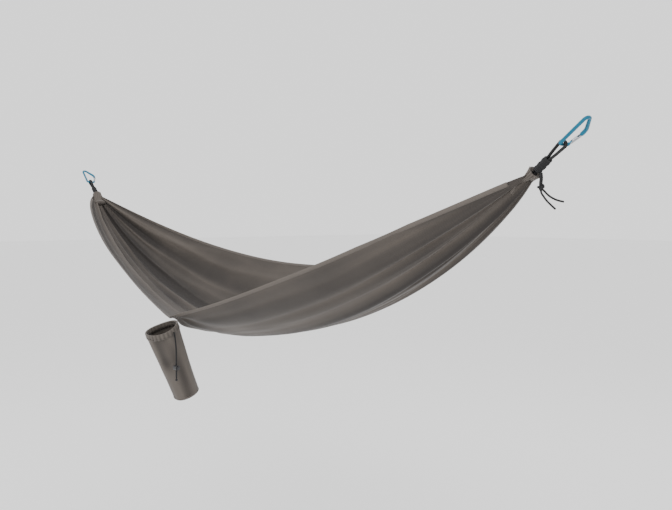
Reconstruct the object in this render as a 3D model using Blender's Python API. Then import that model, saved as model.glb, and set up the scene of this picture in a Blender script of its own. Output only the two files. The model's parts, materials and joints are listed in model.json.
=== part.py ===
"""Camping hammock: a fabric bed hung by cord loops from two carabiners, with a stuff sack on its edge.

Metres, +Z up. The origin is where a tree strap bears in the left carabiner, +X runs to the other
carabiner's bearing point, and -Y is the side that the stuff sack hangs on.
"""

import math

import bmesh
import bpy
import numpy as np
from mathutils import Matrix, Vector

# Bed
GATHER_SPAN = 2.566  # between the two gathered ends of the fabric
BED_SAG = 0.518  # the middle thread below the gathers, at mid length
BELLY_SHIFT = 0.045  # the middle thread towards the far side, at mid length
NEAR_OUT, NEAR_SAG = 0.297, 0.447  # near edge at mid length: outwards and below the gathers
FAR_OUT, FAR_SAG = 0.280, 0.290
NEAR_STRAIGHT = 0.677  # share of the near edge's drop that runs straight to the sack; the rest is rounded
NEAR_POWER, FAR_POWER, BELLY_POWER = 0.609, 0.945, 0.875  # how fast each thread leaves the gathers
FABRIC_THICKNESS = 0.0024
HEM_RADIUS = 0.0035
CHANNEL_SHARE = 0.020  # share of the span that each gathered end takes
GATHER_HALF_WIDTH, GATHER_HALF_HEIGHT = 0.020, 0.019  # the gathered end's blunt face
BLUNT_SHARE = 0.9  # the face's own height, where its rim is rounded over
MOUTH_MARGIN, MOUTH_HALF_HEIGHT = 0.004, 0.020  # the gathered end where it meets the open trough
HEM_START = 0.004  # share of the span between a gathered end and its hems
BED_COLUMNS, BED_ROWS = 44, 14
GAP = 0.0003  # between pieces that touch
END_ROOM = 0.0020  # between the panel's end and the gathered end, for the panel's thickness

# Suspension
HANG_ANGLE = math.radians(39.0)  # the suspension above the horizontal
CORD_REACH = 0.0965  # from the fabric's end to the carabiner's lower bar
CORD_RADIUS = 0.0025
STRAND_ROOM, BIGHT_ROOM = 0.0004, 0.0021  # half the air between strands; the turn's air round the lower bar
LASHING_LENGTH, LASHING_WALL = 0.046, 0.0024
KNOT_RADIUS = 0.0095
KNOT_DROP = 0.044  # knot's centre below the load line
KNOT_STRETCH = 1.1  # the knot's width across over its height
LASHING_START = 0.003  # from the fabric's end
KNOT_CORDS_START = 0.017  # from the lashing's start to where the knot's cords leave it
KNOT_CORDS_ROOM = 0.002
LOOP_SPREAD = 0.0004  # each strand's drift outwards half way up
LOOP_SHOULDER = 0.7  # the strands' spread three quarters of the way up, over the turn's radius
# The two loose ends below each knot, from the knot's centre: outwards, across and up
TAIL_STEPS = {
    "a": ((0.0060, 0.0060, -0.0095), (0.0090, 0.0105, -0.0150), (0.0140, 0.0170, -0.0220),
          (0.0220, 0.0270, -0.0290), (0.0290, 0.0350, -0.0325), (0.0350, 0.0425, -0.0345)),
    "b": ((0.0020, -0.0010, -0.0120), (0.0060, 0.0030, -0.0220), (0.0110, 0.0100, -0.0330),
          (0.0170, 0.0185, -0.0430), (0.0225, 0.0270, -0.0520)),
}

# Carabiner outline: along its spine, across it, and the corner's centreline radius
BAR_RADIUS, NOSE_RADIUS = 0.0042, 0.0050
STRAND_OFFSET = CORD_RADIUS + STRAND_ROOM  # half the distance between strands laid side by side
BIGHT_RADIUS = BAR_RADIUS + CORD_RADIUS + BIGHT_ROOM  # centreline of the cord's turn round the lower bar
CARABINER_CORNERS = (
    (-0.0460, 0.0350, 0.0),
    (-0.0300, 0.0350, 0.022),
    (0.0222, -0.0100, 0.010),
    (-0.0830, -0.0100, 0.007),
    (-0.0830, 0.0226, 0.007),
)
NOSE_TAPER_START, NOSE_TAPER = 0.008, 0.020  # across the outline: where the bar starts to thicken, and over what
HINGE_ARM = -0.060  # along the outline: past it the bar doesn't thicken
CORD_SEAT = 0.0039  # the cord's place along the lower bar
TONGUE_EDGE = 0.0033  # half the tongue's width at the nose
HOOK_LIP = 0.0022  # length of the tongue's hooked end
HOOK_ROOM = 0.0004  # round the latch pin
GATE_PIVOT = Vector((-0.0725, 0.0266, 0.0))
GATE_ANGLE = math.radians(20.0)
GATE_RADIUS, GATE_LENGTH = 0.0040, 0.0262
FORK_SLOT = 0.0036
TANG_THICKNESS, TANG_RADIUS = 0.0030, 0.0031
RIVET_RADIUS, LATCH_RADIUS = 0.0012, 0.0011
PIVOT_CLEARANCE = 0.0001
LATCH_REACH = 0.0225
GATE_TAIL_GAP = 0.0012  # from the gate's rounded rear to the end of the bar
TANG_ROOT = 0.002  # how far the tang runs into the bar
REAR_FORK, FRONT_FORK = 0.0045, 0.0058  # the rear slot past the pivot, the front slot before the latch pin
GATE_EDGE = 0.0008
SPRING_BORE = 0.0017
PLUNGER_LENGTH, SPRING_WIRE, SPRING_TURNS = 0.0035, 0.0003, 6

# Stuff sack
SACK_X = 0.030  # its place along the near edge, from mid length
SACK_LENGTH = 0.262
MOUTH_RADIUS, BASE_RADIUS = 0.056, 0.043
SACK_WALL = 0.0012
SACK_LEAN = math.radians(22.0)  # it hangs by its rim, so its axis leans in under the bed
SACK_TWIST = -0.030  # its axis's lean along -X
MOUTH_BEHIND, MOUTH_ACROSS, MOUTH_DROP = 0.0045, 0.020, 0.0025  # mouth's rim from the pivot
WAIST = 0.002  # how far the wall is drawn in at mid length
PIVOT_DROP = 0.010  # the sewn tape's lower edge below the hem's centre
SACK_HEM_HEIGHT = 0.020
HEM_WALL, DRAWCORD_DEPTH = 0.0011, 0.0065
WALL_END = 0.94  # share of the sack's length that its wall takes; the base panel takes the rest
TAPE_WIDTH, TAPE_THICKNESS = 0.050, 0.0016
DRAWCORD_RADIUS = 0.00125
EYELET_TURN = math.radians(-10.0)  # the eyelet's place round the mouth
EYELET_DEPTH = 0.6  # share of the mouth's hem above it
END_KNOT_RADIUS = 0.0042
STRAND_TURN = math.radians(99.0)  # the two drawcord strands lie side by side in this direction
LOCK_RADIUS, LOCK_LENGTH = 0.0080, 0.0170
LOCK_BORE, BUTTON_RADIUS, BUTTON_LENGTH = 0.0056, 0.0053, 0.0150
LOCK_HOLE = 0.0031
LOCK_ROOM = 0.0045  # the lock's side out from the eyelet
LOCK_WALL = 0.0018
BUTTON_OUT = 0.0045
BUTTON_TRAVEL = 0.0036
LOCK_DROP = 0.115  # below the eyelet that the drawcord leaves by
TAIL_DROP = 0.040  # the end knot below the lock

FABRIC = ((0.123, 0.106, 0.091), 0.85, 0.0)
CORD = ((0.012, 0.012, 0.013), 0.8, 0.0)
BLUE = ((0.012, 0.245, 0.38), 0.35, 0.9)
SILVER = ((0.72, 0.73, 0.75), 0.3, 1.0)
STEEL = ((0.55, 0.56, 0.58), 0.35, 1.0)
PLASTIC = ((0.02, 0.02, 0.022), 0.5, 0.0)


# ---------- helpers ----------

def steps(low, high, count):
    """Evenly spaced plain numbers from low to high."""
    return [low + (high - low) * i / (count - 1) for i in range(count)]


def material(name, finish):
    colour, roughness, metallic = finish
    made = bpy.data.materials.get(name) or bpy.data.materials.new(name)
    made.use_nodes = True
    shader = made.node_tree.nodes["Principled BSDF"]
    shader.inputs["Base Color"].default_value = (*colour, 1.0)
    shader.inputs["Roughness"].default_value = roughness
    shader.inputs["Metallic"].default_value = metallic
    return made


def place(name, data, finish, parent=None, matrix=None):
    """An object of this data under a parent, at a matrix in the parent's frame."""
    made = bpy.data.objects.new(name, data)
    bpy.context.scene.collection.objects.link(made)
    if data is not None and finish is not None:
        if not data.materials:
            data.materials.append(material(name, finish))
    if parent is not None:
        made.parent = parent
    if matrix is not None:
        made.matrix_basis = matrix
    return made


def mesh_of(name, bm):
    bmesh.ops.recalc_face_normals(bm, faces=bm.faces[:])
    mesh = bpy.data.meshes.new(name)
    bm.to_mesh(mesh)
    bm.free()
    mesh.shade_smooth()
    mesh.set_sharp_from_angle(angle=math.radians(35))
    return mesh


def loft(name, rings, closed=False):
    """A closed body through rings of equal count: capped at both ends, or joined end to start."""
    bm = bmesh.new()
    rows = [[bm.verts.new(point) for point in ring] for ring in rings]
    pairs = list(zip(rows, rows[1:]))
    if closed:
        pairs.append((rows[-1], rows[0]))
    for first, second in pairs:
        count = len(first)
        for i in range(count):
            j = (i + 1) % count
            bm.faces.new((first[i], first[j], second[j], second[i]))
    if not closed:
        bm.faces.new(rows[0])
        bm.faces.new(rows[-1])
    return mesh_of(name, bm)


def tube(name, points, radii, normal, sides=10):
    """A round bar along points that lie in the plane across normal."""
    count = len(points)
    radii = [radii] * count if isinstance(radii, float) else radii
    rings = []
    for i, point in enumerate(points):
        ahead = (points[min(i + 1, count - 1)] - points[max(i - 1, 0)]).normalized()
        side = normal.cross(ahead).normalized()
        turns = [2 * math.pi * k / sides for k in range(sides)]
        rings.append([point + radii[i] * (math.cos(t) * side + math.sin(t) * normal) for t in turns])
    return loft(name, rings)


def cylinder(name, radius, start, end, sides=20):
    axis = (end - start).normalized()
    helper = Vector((0, 0, 1)) if abs(axis.z) < 0.9 else Vector((1, 0, 0))
    side = axis.cross(helper).normalized()
    other = axis.cross(side)
    turns = [2 * math.pi * k / sides for k in range(sides)]
    ring = [radius * (math.cos(t) * side + math.sin(t) * other) for t in turns]
    return loft(name, [[start + p for p in ring], [end + p for p in ring]])


def prism(name, outline, thickness):
    """A plate of this outline in the local XY plane, centred on it."""
    half = thickness / 2
    return loft(name, [[Vector((x, y, z)) for x, y in outline] for z in (-half, half)])


def combined(name, base, added=(), removed=()):
    """One mesh: the base with some meshes joined on and others cut away."""
    target = bpy.data.objects.new(name, base)
    bpy.context.scene.collection.objects.link(target)
    tools = []
    for operation, meshes in (("UNION", added), ("DIFFERENCE", removed)):
        for mesh in meshes:
            tool = bpy.data.objects.new(name + "_tool", mesh)
            bpy.context.scene.collection.objects.link(tool)
            tool.hide_render = True
            tool.display_type = "WIRE"
            modifier = target.modifiers.new(operation, "BOOLEAN")
            modifier.operation = operation
            modifier.object = tool
            tools.append(tool)
    graph = bpy.context.evaluated_depsgraph_get()
    made = bpy.data.meshes.new_from_object(target.evaluated_get(graph))
    made.materials.clear()
    for used in (target, *tools):
        bpy.data.objects.remove(used)
    made.shade_smooth()
    made.set_sharp_from_angle(angle=math.radians(35))
    return made


def rounded(corners, step):
    """Points along straight runs whose corners are arcs; each corner is (x, y, radius)."""
    spots = [Vector((x, y, 0)) for x, y, _ in corners]
    points = [spots[0]]
    for before, corner, after, (_, _, radius) in zip(spots, spots[1:], spots[2:], corners[1:]):
        inward, outward = (before - corner).normalized(), (after - corner).normalized()
        half = inward.angle(outward) / 2
        centre = corner + (inward + outward).normalized() * radius / math.sin(half)
        start = corner + inward * radius / math.tan(half) - centre
        end = corner + outward * radius / math.tan(half) - centre
        sweep = start.angle(end) * (1 if start.cross(end).z > 0 else -1)
        count = max(3, math.ceil(abs(sweep) * radius / step))
        points += [centre + Matrix.Rotation(sweep * i / count, 3, "Z") @ start for i in range(count + 1)]
    return points + [spots[-1]]


def smooth_route(points, spacing):
    """Evenly spaced points on the Catmull-Rom curve through the route's own points."""
    spots = [Vector(p) for p in points]
    spots = [2 * spots[0] - spots[1], *spots, 2 * spots[-1] - spots[-2]]
    fine = []
    for a, b, c, d in zip(spots, spots[1:], spots[2:], spots[3:]):
        for t in steps(0, 23 / 24, 24):
            fine.append(0.5 * (2 * b + (c - a) * t + (2 * a - 5 * b + 4 * c - d) * t**2
                               + (3 * b - a - 3 * c + d) * t**3))
    fine = np.array([*fine, spots[-2]])
    along = np.concatenate([[0], np.cumsum(np.linalg.norm(np.diff(fine, axis=0), axis=1))])
    stops = np.linspace(0, along[-1], max(3, round(along[-1] / spacing) + 1))
    return [Vector([np.interp(s, along, fine[:, axis]) for axis in range(3)]) for s in stops]


def cord(name, points, radius, finish, parent, matrix=None, cyclic=False):
    """A plain round cord as a curve object with filled caps."""
    data = bpy.data.curves.new(name, "CURVE")
    data.dimensions = "3D"
    data.bevel_depth = radius
    data.bevel_resolution = 2
    data.use_fill_caps = not cyclic
    spline = data.splines.new("POLY")
    spline.points.add(len(points) - 1)
    for spot, point in zip(spline.points, points):
        spot.co = (*point, 1.0)
    spline.use_cyclic_u = cyclic
    return place(name, data, finish, parent, matrix)


def helix(radius, start, end, turns, per_turn=8):
    """Points of a coil about the local Y axis, from start to end along it."""
    count = round(turns * per_turn)
    out = []
    for i in range(count + 1):
        t = 2 * math.pi * i / per_turn
        out.append(Vector((radius * math.cos(t), start + (end - start) * i / count, radius * math.sin(t))))
    return out


# ---------- frames and places worked out from the sizes ----------

def seat_point():
    """Where the cord's loops turn round the carabiner's lower bar, in the outline's frame."""
    return Vector((CARABINER_CORNERS[3][0], CORD_SEAT, 0))


def bearing_point():
    """Where a strap bears inside the top bend, in the outline's frame."""
    top = max(rounded(CARABINER_CORNERS, 0.0005), key=lambda p: p.x)
    return Vector((top.x - BAR_RADIUS, top.y, 0))


LOAD = bearing_point() - seat_point()
LOAD_LENGTH = LOAD.length
HANG_REACH = LOAD_LENGTH + CORD_REACH  # fabric's end to the strap's bearing point
GATHER_X = HANG_REACH * math.cos(HANG_ANGLE)  # left gather, from the origin
GATHER_Z = -HANG_REACH * math.sin(HANG_ANGLE)
HANG_SPAN = GATHER_SPAN + 2 * GATHER_X
MIDDLE_X = HANG_SPAN / 2


def hang_frame(side):
    """Matrix of the suspension's frame: X up the load line, Y across, at the strap's bearing point.

    side is -1 at the left and +1 at the right.
    """
    up = Vector((side * math.cos(HANG_ANGLE), 0, math.sin(HANG_ANGLE)))
    across = Vector((0, 1, 0))
    out = up.cross(across)
    frame = Matrix((up, across, out)).transposed().to_4x4()
    frame.translation = (0 if side < 0 else HANG_SPAN, 0, 0)
    return frame


def bed_point(t, w):
    """The fabric's middle surface: t runs from end to end, w from -1, the near edge, to 1, the far."""
    a = 1 - abs(2 * t - 1)
    b = 1 - (2 * t - 1) ** 2
    g = NEAR_STRAIGHT * a + (1 - NEAR_STRAIGHT) * b
    near = Vector((0, -NEAR_OUT * g**NEAR_POWER, -NEAR_SAG * g))
    far = Vector((0, FAR_OUT * b**FAR_POWER, -FAR_SAG * b))
    middle = Vector((0, BELLY_SHIFT * b, -BED_SAG * b**BELLY_POWER))
    point = middle + w * (far - near) / 2 + w * w * ((far + near) / 2 - middle)
    return point + Vector((GATHER_X + t * GATHER_SPAN, 0, GATHER_Z))


def edge_reach(t, side):
    """The w at which the panel stops, short of the hem that runs along w = side."""
    step = 0.02
    slope = (bed_point(t, side) - bed_point(t, side * (1 - step))).length / step
    return side * (1 - (HEM_RADIUS + 3 * GAP) / slope)


def bed_stations(count):
    """Places along the bed, closer together near the gathers."""
    ease = [(1 - math.cos(math.pi * i / (count - 1))) / 2 for i in range(count)]
    linear = [i / (count - 1) for i in range(count)]
    return [CHANNEL_SHARE + (1 - 2 * CHANNEL_SHARE) * (0.6 * e + 0.4 * s) for e, s in zip(ease, linear)]


# ---------- bed ----------

def bed_panel(parent):
    bm = bmesh.new()
    rows = []
    for t in bed_stations(BED_COLUMNS):
        low, high = edge_reach(t, -1), edge_reach(t, 1)
        rows.append([bm.verts.new(bed_point(t, low + (high - low) * j / BED_ROWS)) for j in range(BED_ROWS + 1)])
    for first, second in zip(rows, rows[1:]):
        for j in range(BED_ROWS):
            bm.faces.new((first[j], second[j], second[j + 1], first[j + 1]))
    mesh = bpy.data.meshes.new("bed_fabric")
    bm.to_mesh(mesh)
    bm.free()
    mesh.shade_smooth()
    panel = place("bed_fabric", mesh, FABRIC, parent)
    wall = panel.modifiers.new("wall", "SOLIDIFY")
    wall.thickness = FABRIC_THICKNESS
    wall.offset = 0


def bed_hem(name, side, parent):
    start = CHANNEL_SHARE + HEM_START
    stations = [start + (1 - 2 * start) * i / 39 for i in range(40)]
    cord(name, [bed_point(t, side) for t in stations], HEM_RADIUS, FABRIC, parent)


def end_channel(name, side, parent):
    """The gathered end: blunt where the cords leave it, widening to meet the open trough."""
    frame = hang_frame(side)
    gather = frame @ Vector((-HANG_REACH, 0, 0))
    across, out = frame.col[1].xyz, frame.col[2].xyz
    t = CHANNEL_SHARE if side < 0 else 1 - CHANNEL_SHARE
    points = [bed_point(t, w) for w in steps(-1, 1, 17)]
    mouth = sum(points, Vector()) / len(points)
    mouth.x += side * END_ROOM
    wide = (bed_point(t, 1).y - bed_point(t, -1).y) / 2 + MOUTH_MARGIN
    turns = [2 * math.pi * k / 24 for k in range(24)]
    open_end = [mouth + Vector((0, math.cos(a) * wide, -math.sin(a) * MOUTH_HALF_HEIGHT)) for a in turns]
    rings = []
    for s in (0.0, 0.12, 0.35, 0.6, 0.85, 1.0):
        height = GATHER_HALF_HEIGHT * (BLUNT_SHARE if s == 0 else 1.0)
        blunt = [gather + math.cos(a) * GATHER_HALF_WIDTH * across - side * math.sin(a) * height * out
                 for a in turns]
        rings.append([p.lerp(q, s) for p, q in zip(blunt, open_end)])
    place(name, loft(name, rings), FABRIC, parent)


# ---------- suspension ----------

def loop_route(across):
    """One cord loop in the hang frame: out of the fabric, round the lower bar and back."""
    seat = -LOAD_LENGTH
    base = -HANG_REACH + 2 * GAP
    bundle = STRAND_OFFSET
    up = [(base, -bundle), (base + 0.3 * CORD_REACH, -bundle), (base + 0.5 * CORD_REACH, -bundle - LOOP_SPREAD),
          (base + 0.75 * CORD_REACH, -LOOP_SHOULDER * BIGHT_RADIUS)]
    turn = [(seat + BIGHT_RADIUS * math.sin(a), -BIGHT_RADIUS * math.cos(a))
            for a in steps(-0.15, math.pi + 0.15, 13)]
    down = [(u, -w) for u, w in reversed(up)]
    spread = STRAND_OFFSET * across
    return [(u, spread, w) for u, w in (*up, *turn, *down)]


def suspension(side, word, parent):
    frame = hang_frame(side)
    for across, letter in ((-1, "a"), (1, "b")):
        route = smooth_route(loop_route(across), 0.0055)
        cord(f"{word}_cord_loop_{letter}", [frame @ p for p in route], CORD_RADIUS, CORD, parent)

    inner = STRAND_OFFSET * math.sqrt(2) + CORD_RADIUS + 3 * GAP
    outer = inner + LASHING_WALL
    start = -HANG_REACH + LASHING_START
    turns = [2 * math.pi * k / 20 for k in range(20)]
    profile = ((start, inner), (start, outer), (start + LASHING_LENGTH, outer), (start + LASHING_LENGTH, inner))
    rings = [[frame @ Vector((u, r * math.cos(a), r * math.sin(a))) for u, r in profile] for a in turns]
    place(f"{word}_cord_lashing", loft("lashing", rings, closed=True), CORD, parent)

    below = Vector((0, 0, -1))
    drop = (outer + GAP) / math.cos(HANG_ANGLE) + KNOT_CORDS_ROOM
    exit_point = frame @ Vector((start + KNOT_CORDS_START, 0, 0)) + below * drop
    knot = exit_point + Vector((0, 0, -KNOT_DROP + outer))
    lumps = bmesh.new()
    bmesh.ops.create_icosphere(lumps, subdivisions=2, radius=KNOT_RADIUS)
    place(f"{word}_knot", mesh_of("knot", lumps), CORD, parent,
          Matrix.Translation(knot) @ Matrix.Diagonal((1.0, KNOT_STRETCH, 1.0, 1.0)))
    for across, letter in ((-1, "a"), (1, "b")):
        step = Vector((0, across * STRAND_OFFSET, 0))
        top, bottom = exit_point + step, knot + Vector((0, across * STRAND_OFFSET, KNOT_RADIUS + GAP))
        leg = smooth_route([top, top.lerp(bottom, 0.5), bottom], 0.006)
        cord(f"{word}_knot_leg_{letter}", leg, CORD_RADIUS, CORD, parent)
    for letter, offsets in TAIL_STEPS.items():
        route = [knot + Vector((side * x, y, z)) for x, y, z in offsets]
        cord(f"{word}_cord_tail_{letter}", smooth_route(route, 0.006), CORD_RADIUS, CORD, parent)


# ---------- carabiner ----------

def gate_axis():
    return Vector((math.cos(GATE_ANGLE), math.sin(GATE_ANGLE), 0))


def carabiner_body():
    """The bent bar with the nose's hooked tongue and the tang that the gate turns on."""
    end = GATE_PIVOT - gate_axis() * (GATE_RADIUS + GATE_TAIL_GAP)
    path = rounded((*CARABINER_CORNERS, (end.x, end.y, 0)), 0.0032)
    taper = [min(1.0, max(0.0, (p.y - NOSE_TAPER_START) / NOSE_TAPER)) if p.x > HINGE_ARM else 0.0 for p in path]
    radii = [BAR_RADIUS + share * (NOSE_RADIUS - BAR_RADIUS) for share in taper]
    bar = tube("bar", path, radii, Vector((0, 0, 1)))
    x0, y0, _ = CARABINER_CORNERS[0]
    pin = GATE_PIVOT + gate_axis() * LATCH_REACH
    room = LATCH_RADIUS + HOOK_ROOM
    root, low, outer = x0 + 0.004, y0 - 0.9 * TONGUE_EDGE, y0 + TONGUE_EDGE
    step, lip, tip = pin.x + room + 0.001, pin.y - 0.002, pin.x - room - HOOK_LIP
    tongue = ((root, low), (step, low), (step, pin.y + room), (pin.x - room, pin.y + room), (pin.x - room, lip),
              (tip, lip), (tip, outer), (root, outer))
    side = Vector((-gate_axis().y, gate_axis().x, 0))
    arc = [GATE_PIVOT + TANG_RADIUS * (math.cos(a) * gate_axis() + math.sin(a) * side)
           for a in steps(-math.pi / 2, math.pi / 2, 9)]
    root = end - gate_axis() * TANG_ROOT
    tang = [(p.x, p.y) for p in (*arc, root + side * TANG_RADIUS, root - side * TANG_RADIUS)]
    bore = cylinder("bore", RIVET_RADIUS + PIVOT_CLEARANCE, GATE_PIVOT + Vector((0, 0, -0.01)),
                    GATE_PIVOT + Vector((0, 0, 0.01)), 16)
    return combined("carabiner_body", bar, added=(prism("tongue", tongue, TANG_THICKNESS),
                    prism("tang", tang, TANG_THICKNESS)), removed=(bore,))


def gate_mesh():
    """The gate along local +X from its pivot: forked at both ends and bored for its spring."""
    x = Vector((1, 0, 0))
    z = Vector((0, 0, 1))
    turns = steps(math.radians(15), math.radians(90), 6)
    shape = [(-GATE_RADIUS * math.cos(a), GATE_RADIUS * math.sin(a)) for a in turns]
    shape += [(GATE_LENGTH - GATE_EDGE, GATE_RADIUS), (GATE_LENGTH, GATE_RADIUS - GATE_EDGE)]
    rod = tube("rod", [x * along for along, _ in shape], [radius for _, radius in shape], z, 16)
    back, front = REAR_FORK, LATCH_REACH - FRONT_FORK
    high = 2 * GATE_RADIUS
    rear = prism("rear", ((-high, -high), (back, -high), (back, high), (-high, high)), FORK_SLOT)
    fork = prism("fork", ((front, -high), (2 * GATE_LENGTH, -high), (2 * GATE_LENGTH, high), (front, high)),
                 FORK_SLOT)
    rivet = cylinder("rivet", RIVET_RADIUS + PIVOT_CLEARANCE, -z * 0.01, z * 0.01, 16)
    latch = cylinder("latch", LATCH_RADIUS + PIVOT_CLEARANCE, x * LATCH_REACH - z * 0.01,
                     x * LATCH_REACH + z * 0.01, 16)
    bore = cylinder("bore", SPRING_BORE, x * (back - 0.001), x * (front - 0.002), 12)
    return combined("gate", rod, removed=(rear, fork, rivet, latch, bore))


def carabiner(side, word, frame_parent, body_mesh, gate_data):
    """One carabiner hung on its load line, its gate's pieces under an empty on the gate's pivot."""
    turn = Matrix.Rotation(-math.atan2(LOAD.y, LOAD.x), 4, "Z")
    base = hang_frame(side) @ turn @ Matrix.Translation(-bearing_point())
    place(f"{word}_carabiner_body", body_mesh, BLUE, frame_parent, base)
    reach = GATE_RADIUS + 0.0002
    z = Vector((0, 0, 1))
    rivet = cylinder("rivet", RIVET_RADIUS, -z * reach, z * reach, 16)
    place(f"{word}_gate_rivet", rivet, STEEL, frame_parent, base @ Matrix.Translation(GATE_PIVOT))
    pivot = place(f"{word}_gate_pivot", None, None, frame_parent,
                  base @ Matrix.Translation(GATE_PIVOT) @ Matrix.Rotation(GATE_ANGLE, 4, "Z"))
    place(f"{word}_carabiner_gate", gate_data, SILVER, pivot)
    x = Vector((1, 0, 0))
    latch = cylinder("latch", LATCH_RADIUS, -z * (GATE_RADIUS - GAP), z * (GATE_RADIUS - GAP), 16)
    place(f"{word}_latch_pin", latch, STEEL, pivot, Matrix.Translation(x * LATCH_REACH))
    nose = TANG_RADIUS + GAP
    plunger_end = nose + PLUNGER_LENGTH
    plunger = cylinder("plunger", SPRING_BORE - GAP, x * nose, x * plunger_end, 12)
    place(f"{word}_gate_plunger", plunger, STEEL, pivot)
    coil_end = LATCH_REACH - FRONT_FORK - 0.002 - GAP
    wire = SPRING_WIRE
    coil = helix(SPRING_BORE - wire - GAP, plunger_end + wire + GAP, coil_end - wire, SPRING_TURNS)
    cord(f"{word}_gate_spring", coil, wire, STEEL, pivot, Matrix.Rotation(-math.pi / 2, 4, "Z"))


# ---------- stuff sack ----------

def sack_frames():
    """The sack's pivot, its mouth's centre, and unit vectors across, outwards and up its axis."""
    hem = bed_point(0.5 + SACK_X / GATHER_SPAN, -1)
    pivot = hem + Vector((0, 0, -PIVOT_DROP))
    down = Vector((SACK_TWIST, math.sin(SACK_LEAN), -math.cos(SACK_LEAN))).normalized()
    out = Vector((0, -1, 0))
    out = (out - out.dot(down) * down).normalized()
    across = out.cross(down)
    mouth = pivot + out * (MOUTH_RADIUS + MOUTH_BEHIND) + across * MOUTH_ACROSS + down * MOUTH_DROP
    return pivot, mouth, across, out, -down


def ring_of(centre, radius, across, out, count=28):
    turns = [2 * math.pi * k / count for k in range(count)]
    return [centre + radius * (math.cos(t) * across + math.sin(t) * out) for t in turns]


def sack_radius(s):
    """The sack's outer radius at a share s of its length from the mouth."""
    return MOUTH_RADIUS + (BASE_RADIUS - MOUTH_RADIUS) * s - WAIST * math.sin(math.pi * s)


def stuff_sack(parent):
    """The sack's wall, base, mouth hem and drawcord ring; returns the tape's mesh and its place."""
    pivot, mouth, across, out, up = sack_frames()
    hem_bottom = SACK_HEM_HEIGHT / SACK_LENGTH

    def level(s):
        return mouth - up * SACK_LENGTH * s

    shares = [hem_bottom + GAP / SACK_LENGTH + (WALL_END - hem_bottom) * i / 8 for i in range(9)]
    outer = [ring_of(level(s), sack_radius(s), across, out) for s in shares]
    inner = [ring_of(level(s), sack_radius(s) - SACK_WALL, across, out) for s in reversed(shares)]
    place("stuff_sack", loft("stuff_sack", outer + inner, closed=True), FABRIC, parent)

    last = shares[-1]
    rim = BASE_RADIUS - 0.0005
    dome = [(last + GAP / SACK_LENGTH, rim), (last + 0.022, rim), (last + 0.040, 0.86 * rim), (1.0, 0.55 * rim)]
    base = [ring_of(level(s), r, across, out) for s, r in dome]
    place("sack_base", loft("sack_base", base), FABRIC, parent)

    wall, room = HEM_WALL, DRAWCORD_RADIUS + GAP
    middle = MOUTH_RADIUS - wall - room
    flat = (MOUTH_RADIUS, middle + room, middle - room, middle - room - wall)
    profile = ((0.0, flat[0]), (SACK_HEM_HEIGHT, flat[0]), (SACK_HEM_HEIGHT, flat[1]), (wall, flat[1]),
               (wall, flat[2]), (SACK_HEM_HEIGHT, flat[2]), (SACK_HEM_HEIGHT, flat[3]), (0.0, flat[3]))
    count = 28
    sections = []
    for k in range(count):
        a = 2 * math.pi * k / count
        radial = math.cos(a) * across + math.sin(a) * out
        sections.append([mouth - up * depth + radial * r for depth, r in profile])
    place("sack_mouth_hem", loft("sack_mouth_hem", sections, closed=True), FABRIC, parent)

    ring = ring_of(mouth - up * DRAWCORD_DEPTH, middle, across, out, 28)
    cord("drawcord_ring", ring, DRAWCORD_RADIUS, CORD, parent, cyclic=True)

    tape = bmesh.new()
    bmesh.ops.create_cube(tape, size=1.0)
    tape_top = HEM_RADIUS + GAP
    tape_height = PIVOT_DROP - tape_top - 0.001
    centre = pivot + Vector((0, 0, PIVOT_DROP - tape_top - tape_height / 2))
    bmesh.ops.scale(tape, vec=(TAPE_WIDTH, TAPE_THICKNESS, tape_height), verts=tape.verts[:])
    return mesh_of("sack_tape", tape), centre


def drawcord_exit():
    """The eyelet low on the mouth's hem, towards +X and outwards, that both drawcord ends leave by."""
    _, mouth, across, out, up = sack_frames()
    radial = math.cos(EYELET_TURN) * across + math.sin(EYELET_TURN) * out
    return mouth - up * (EYELET_DEPTH * SACK_HEM_HEIGHT) + radial * (MOUTH_RADIUS + DRAWCORD_RADIUS + 2 * GAP)


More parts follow.
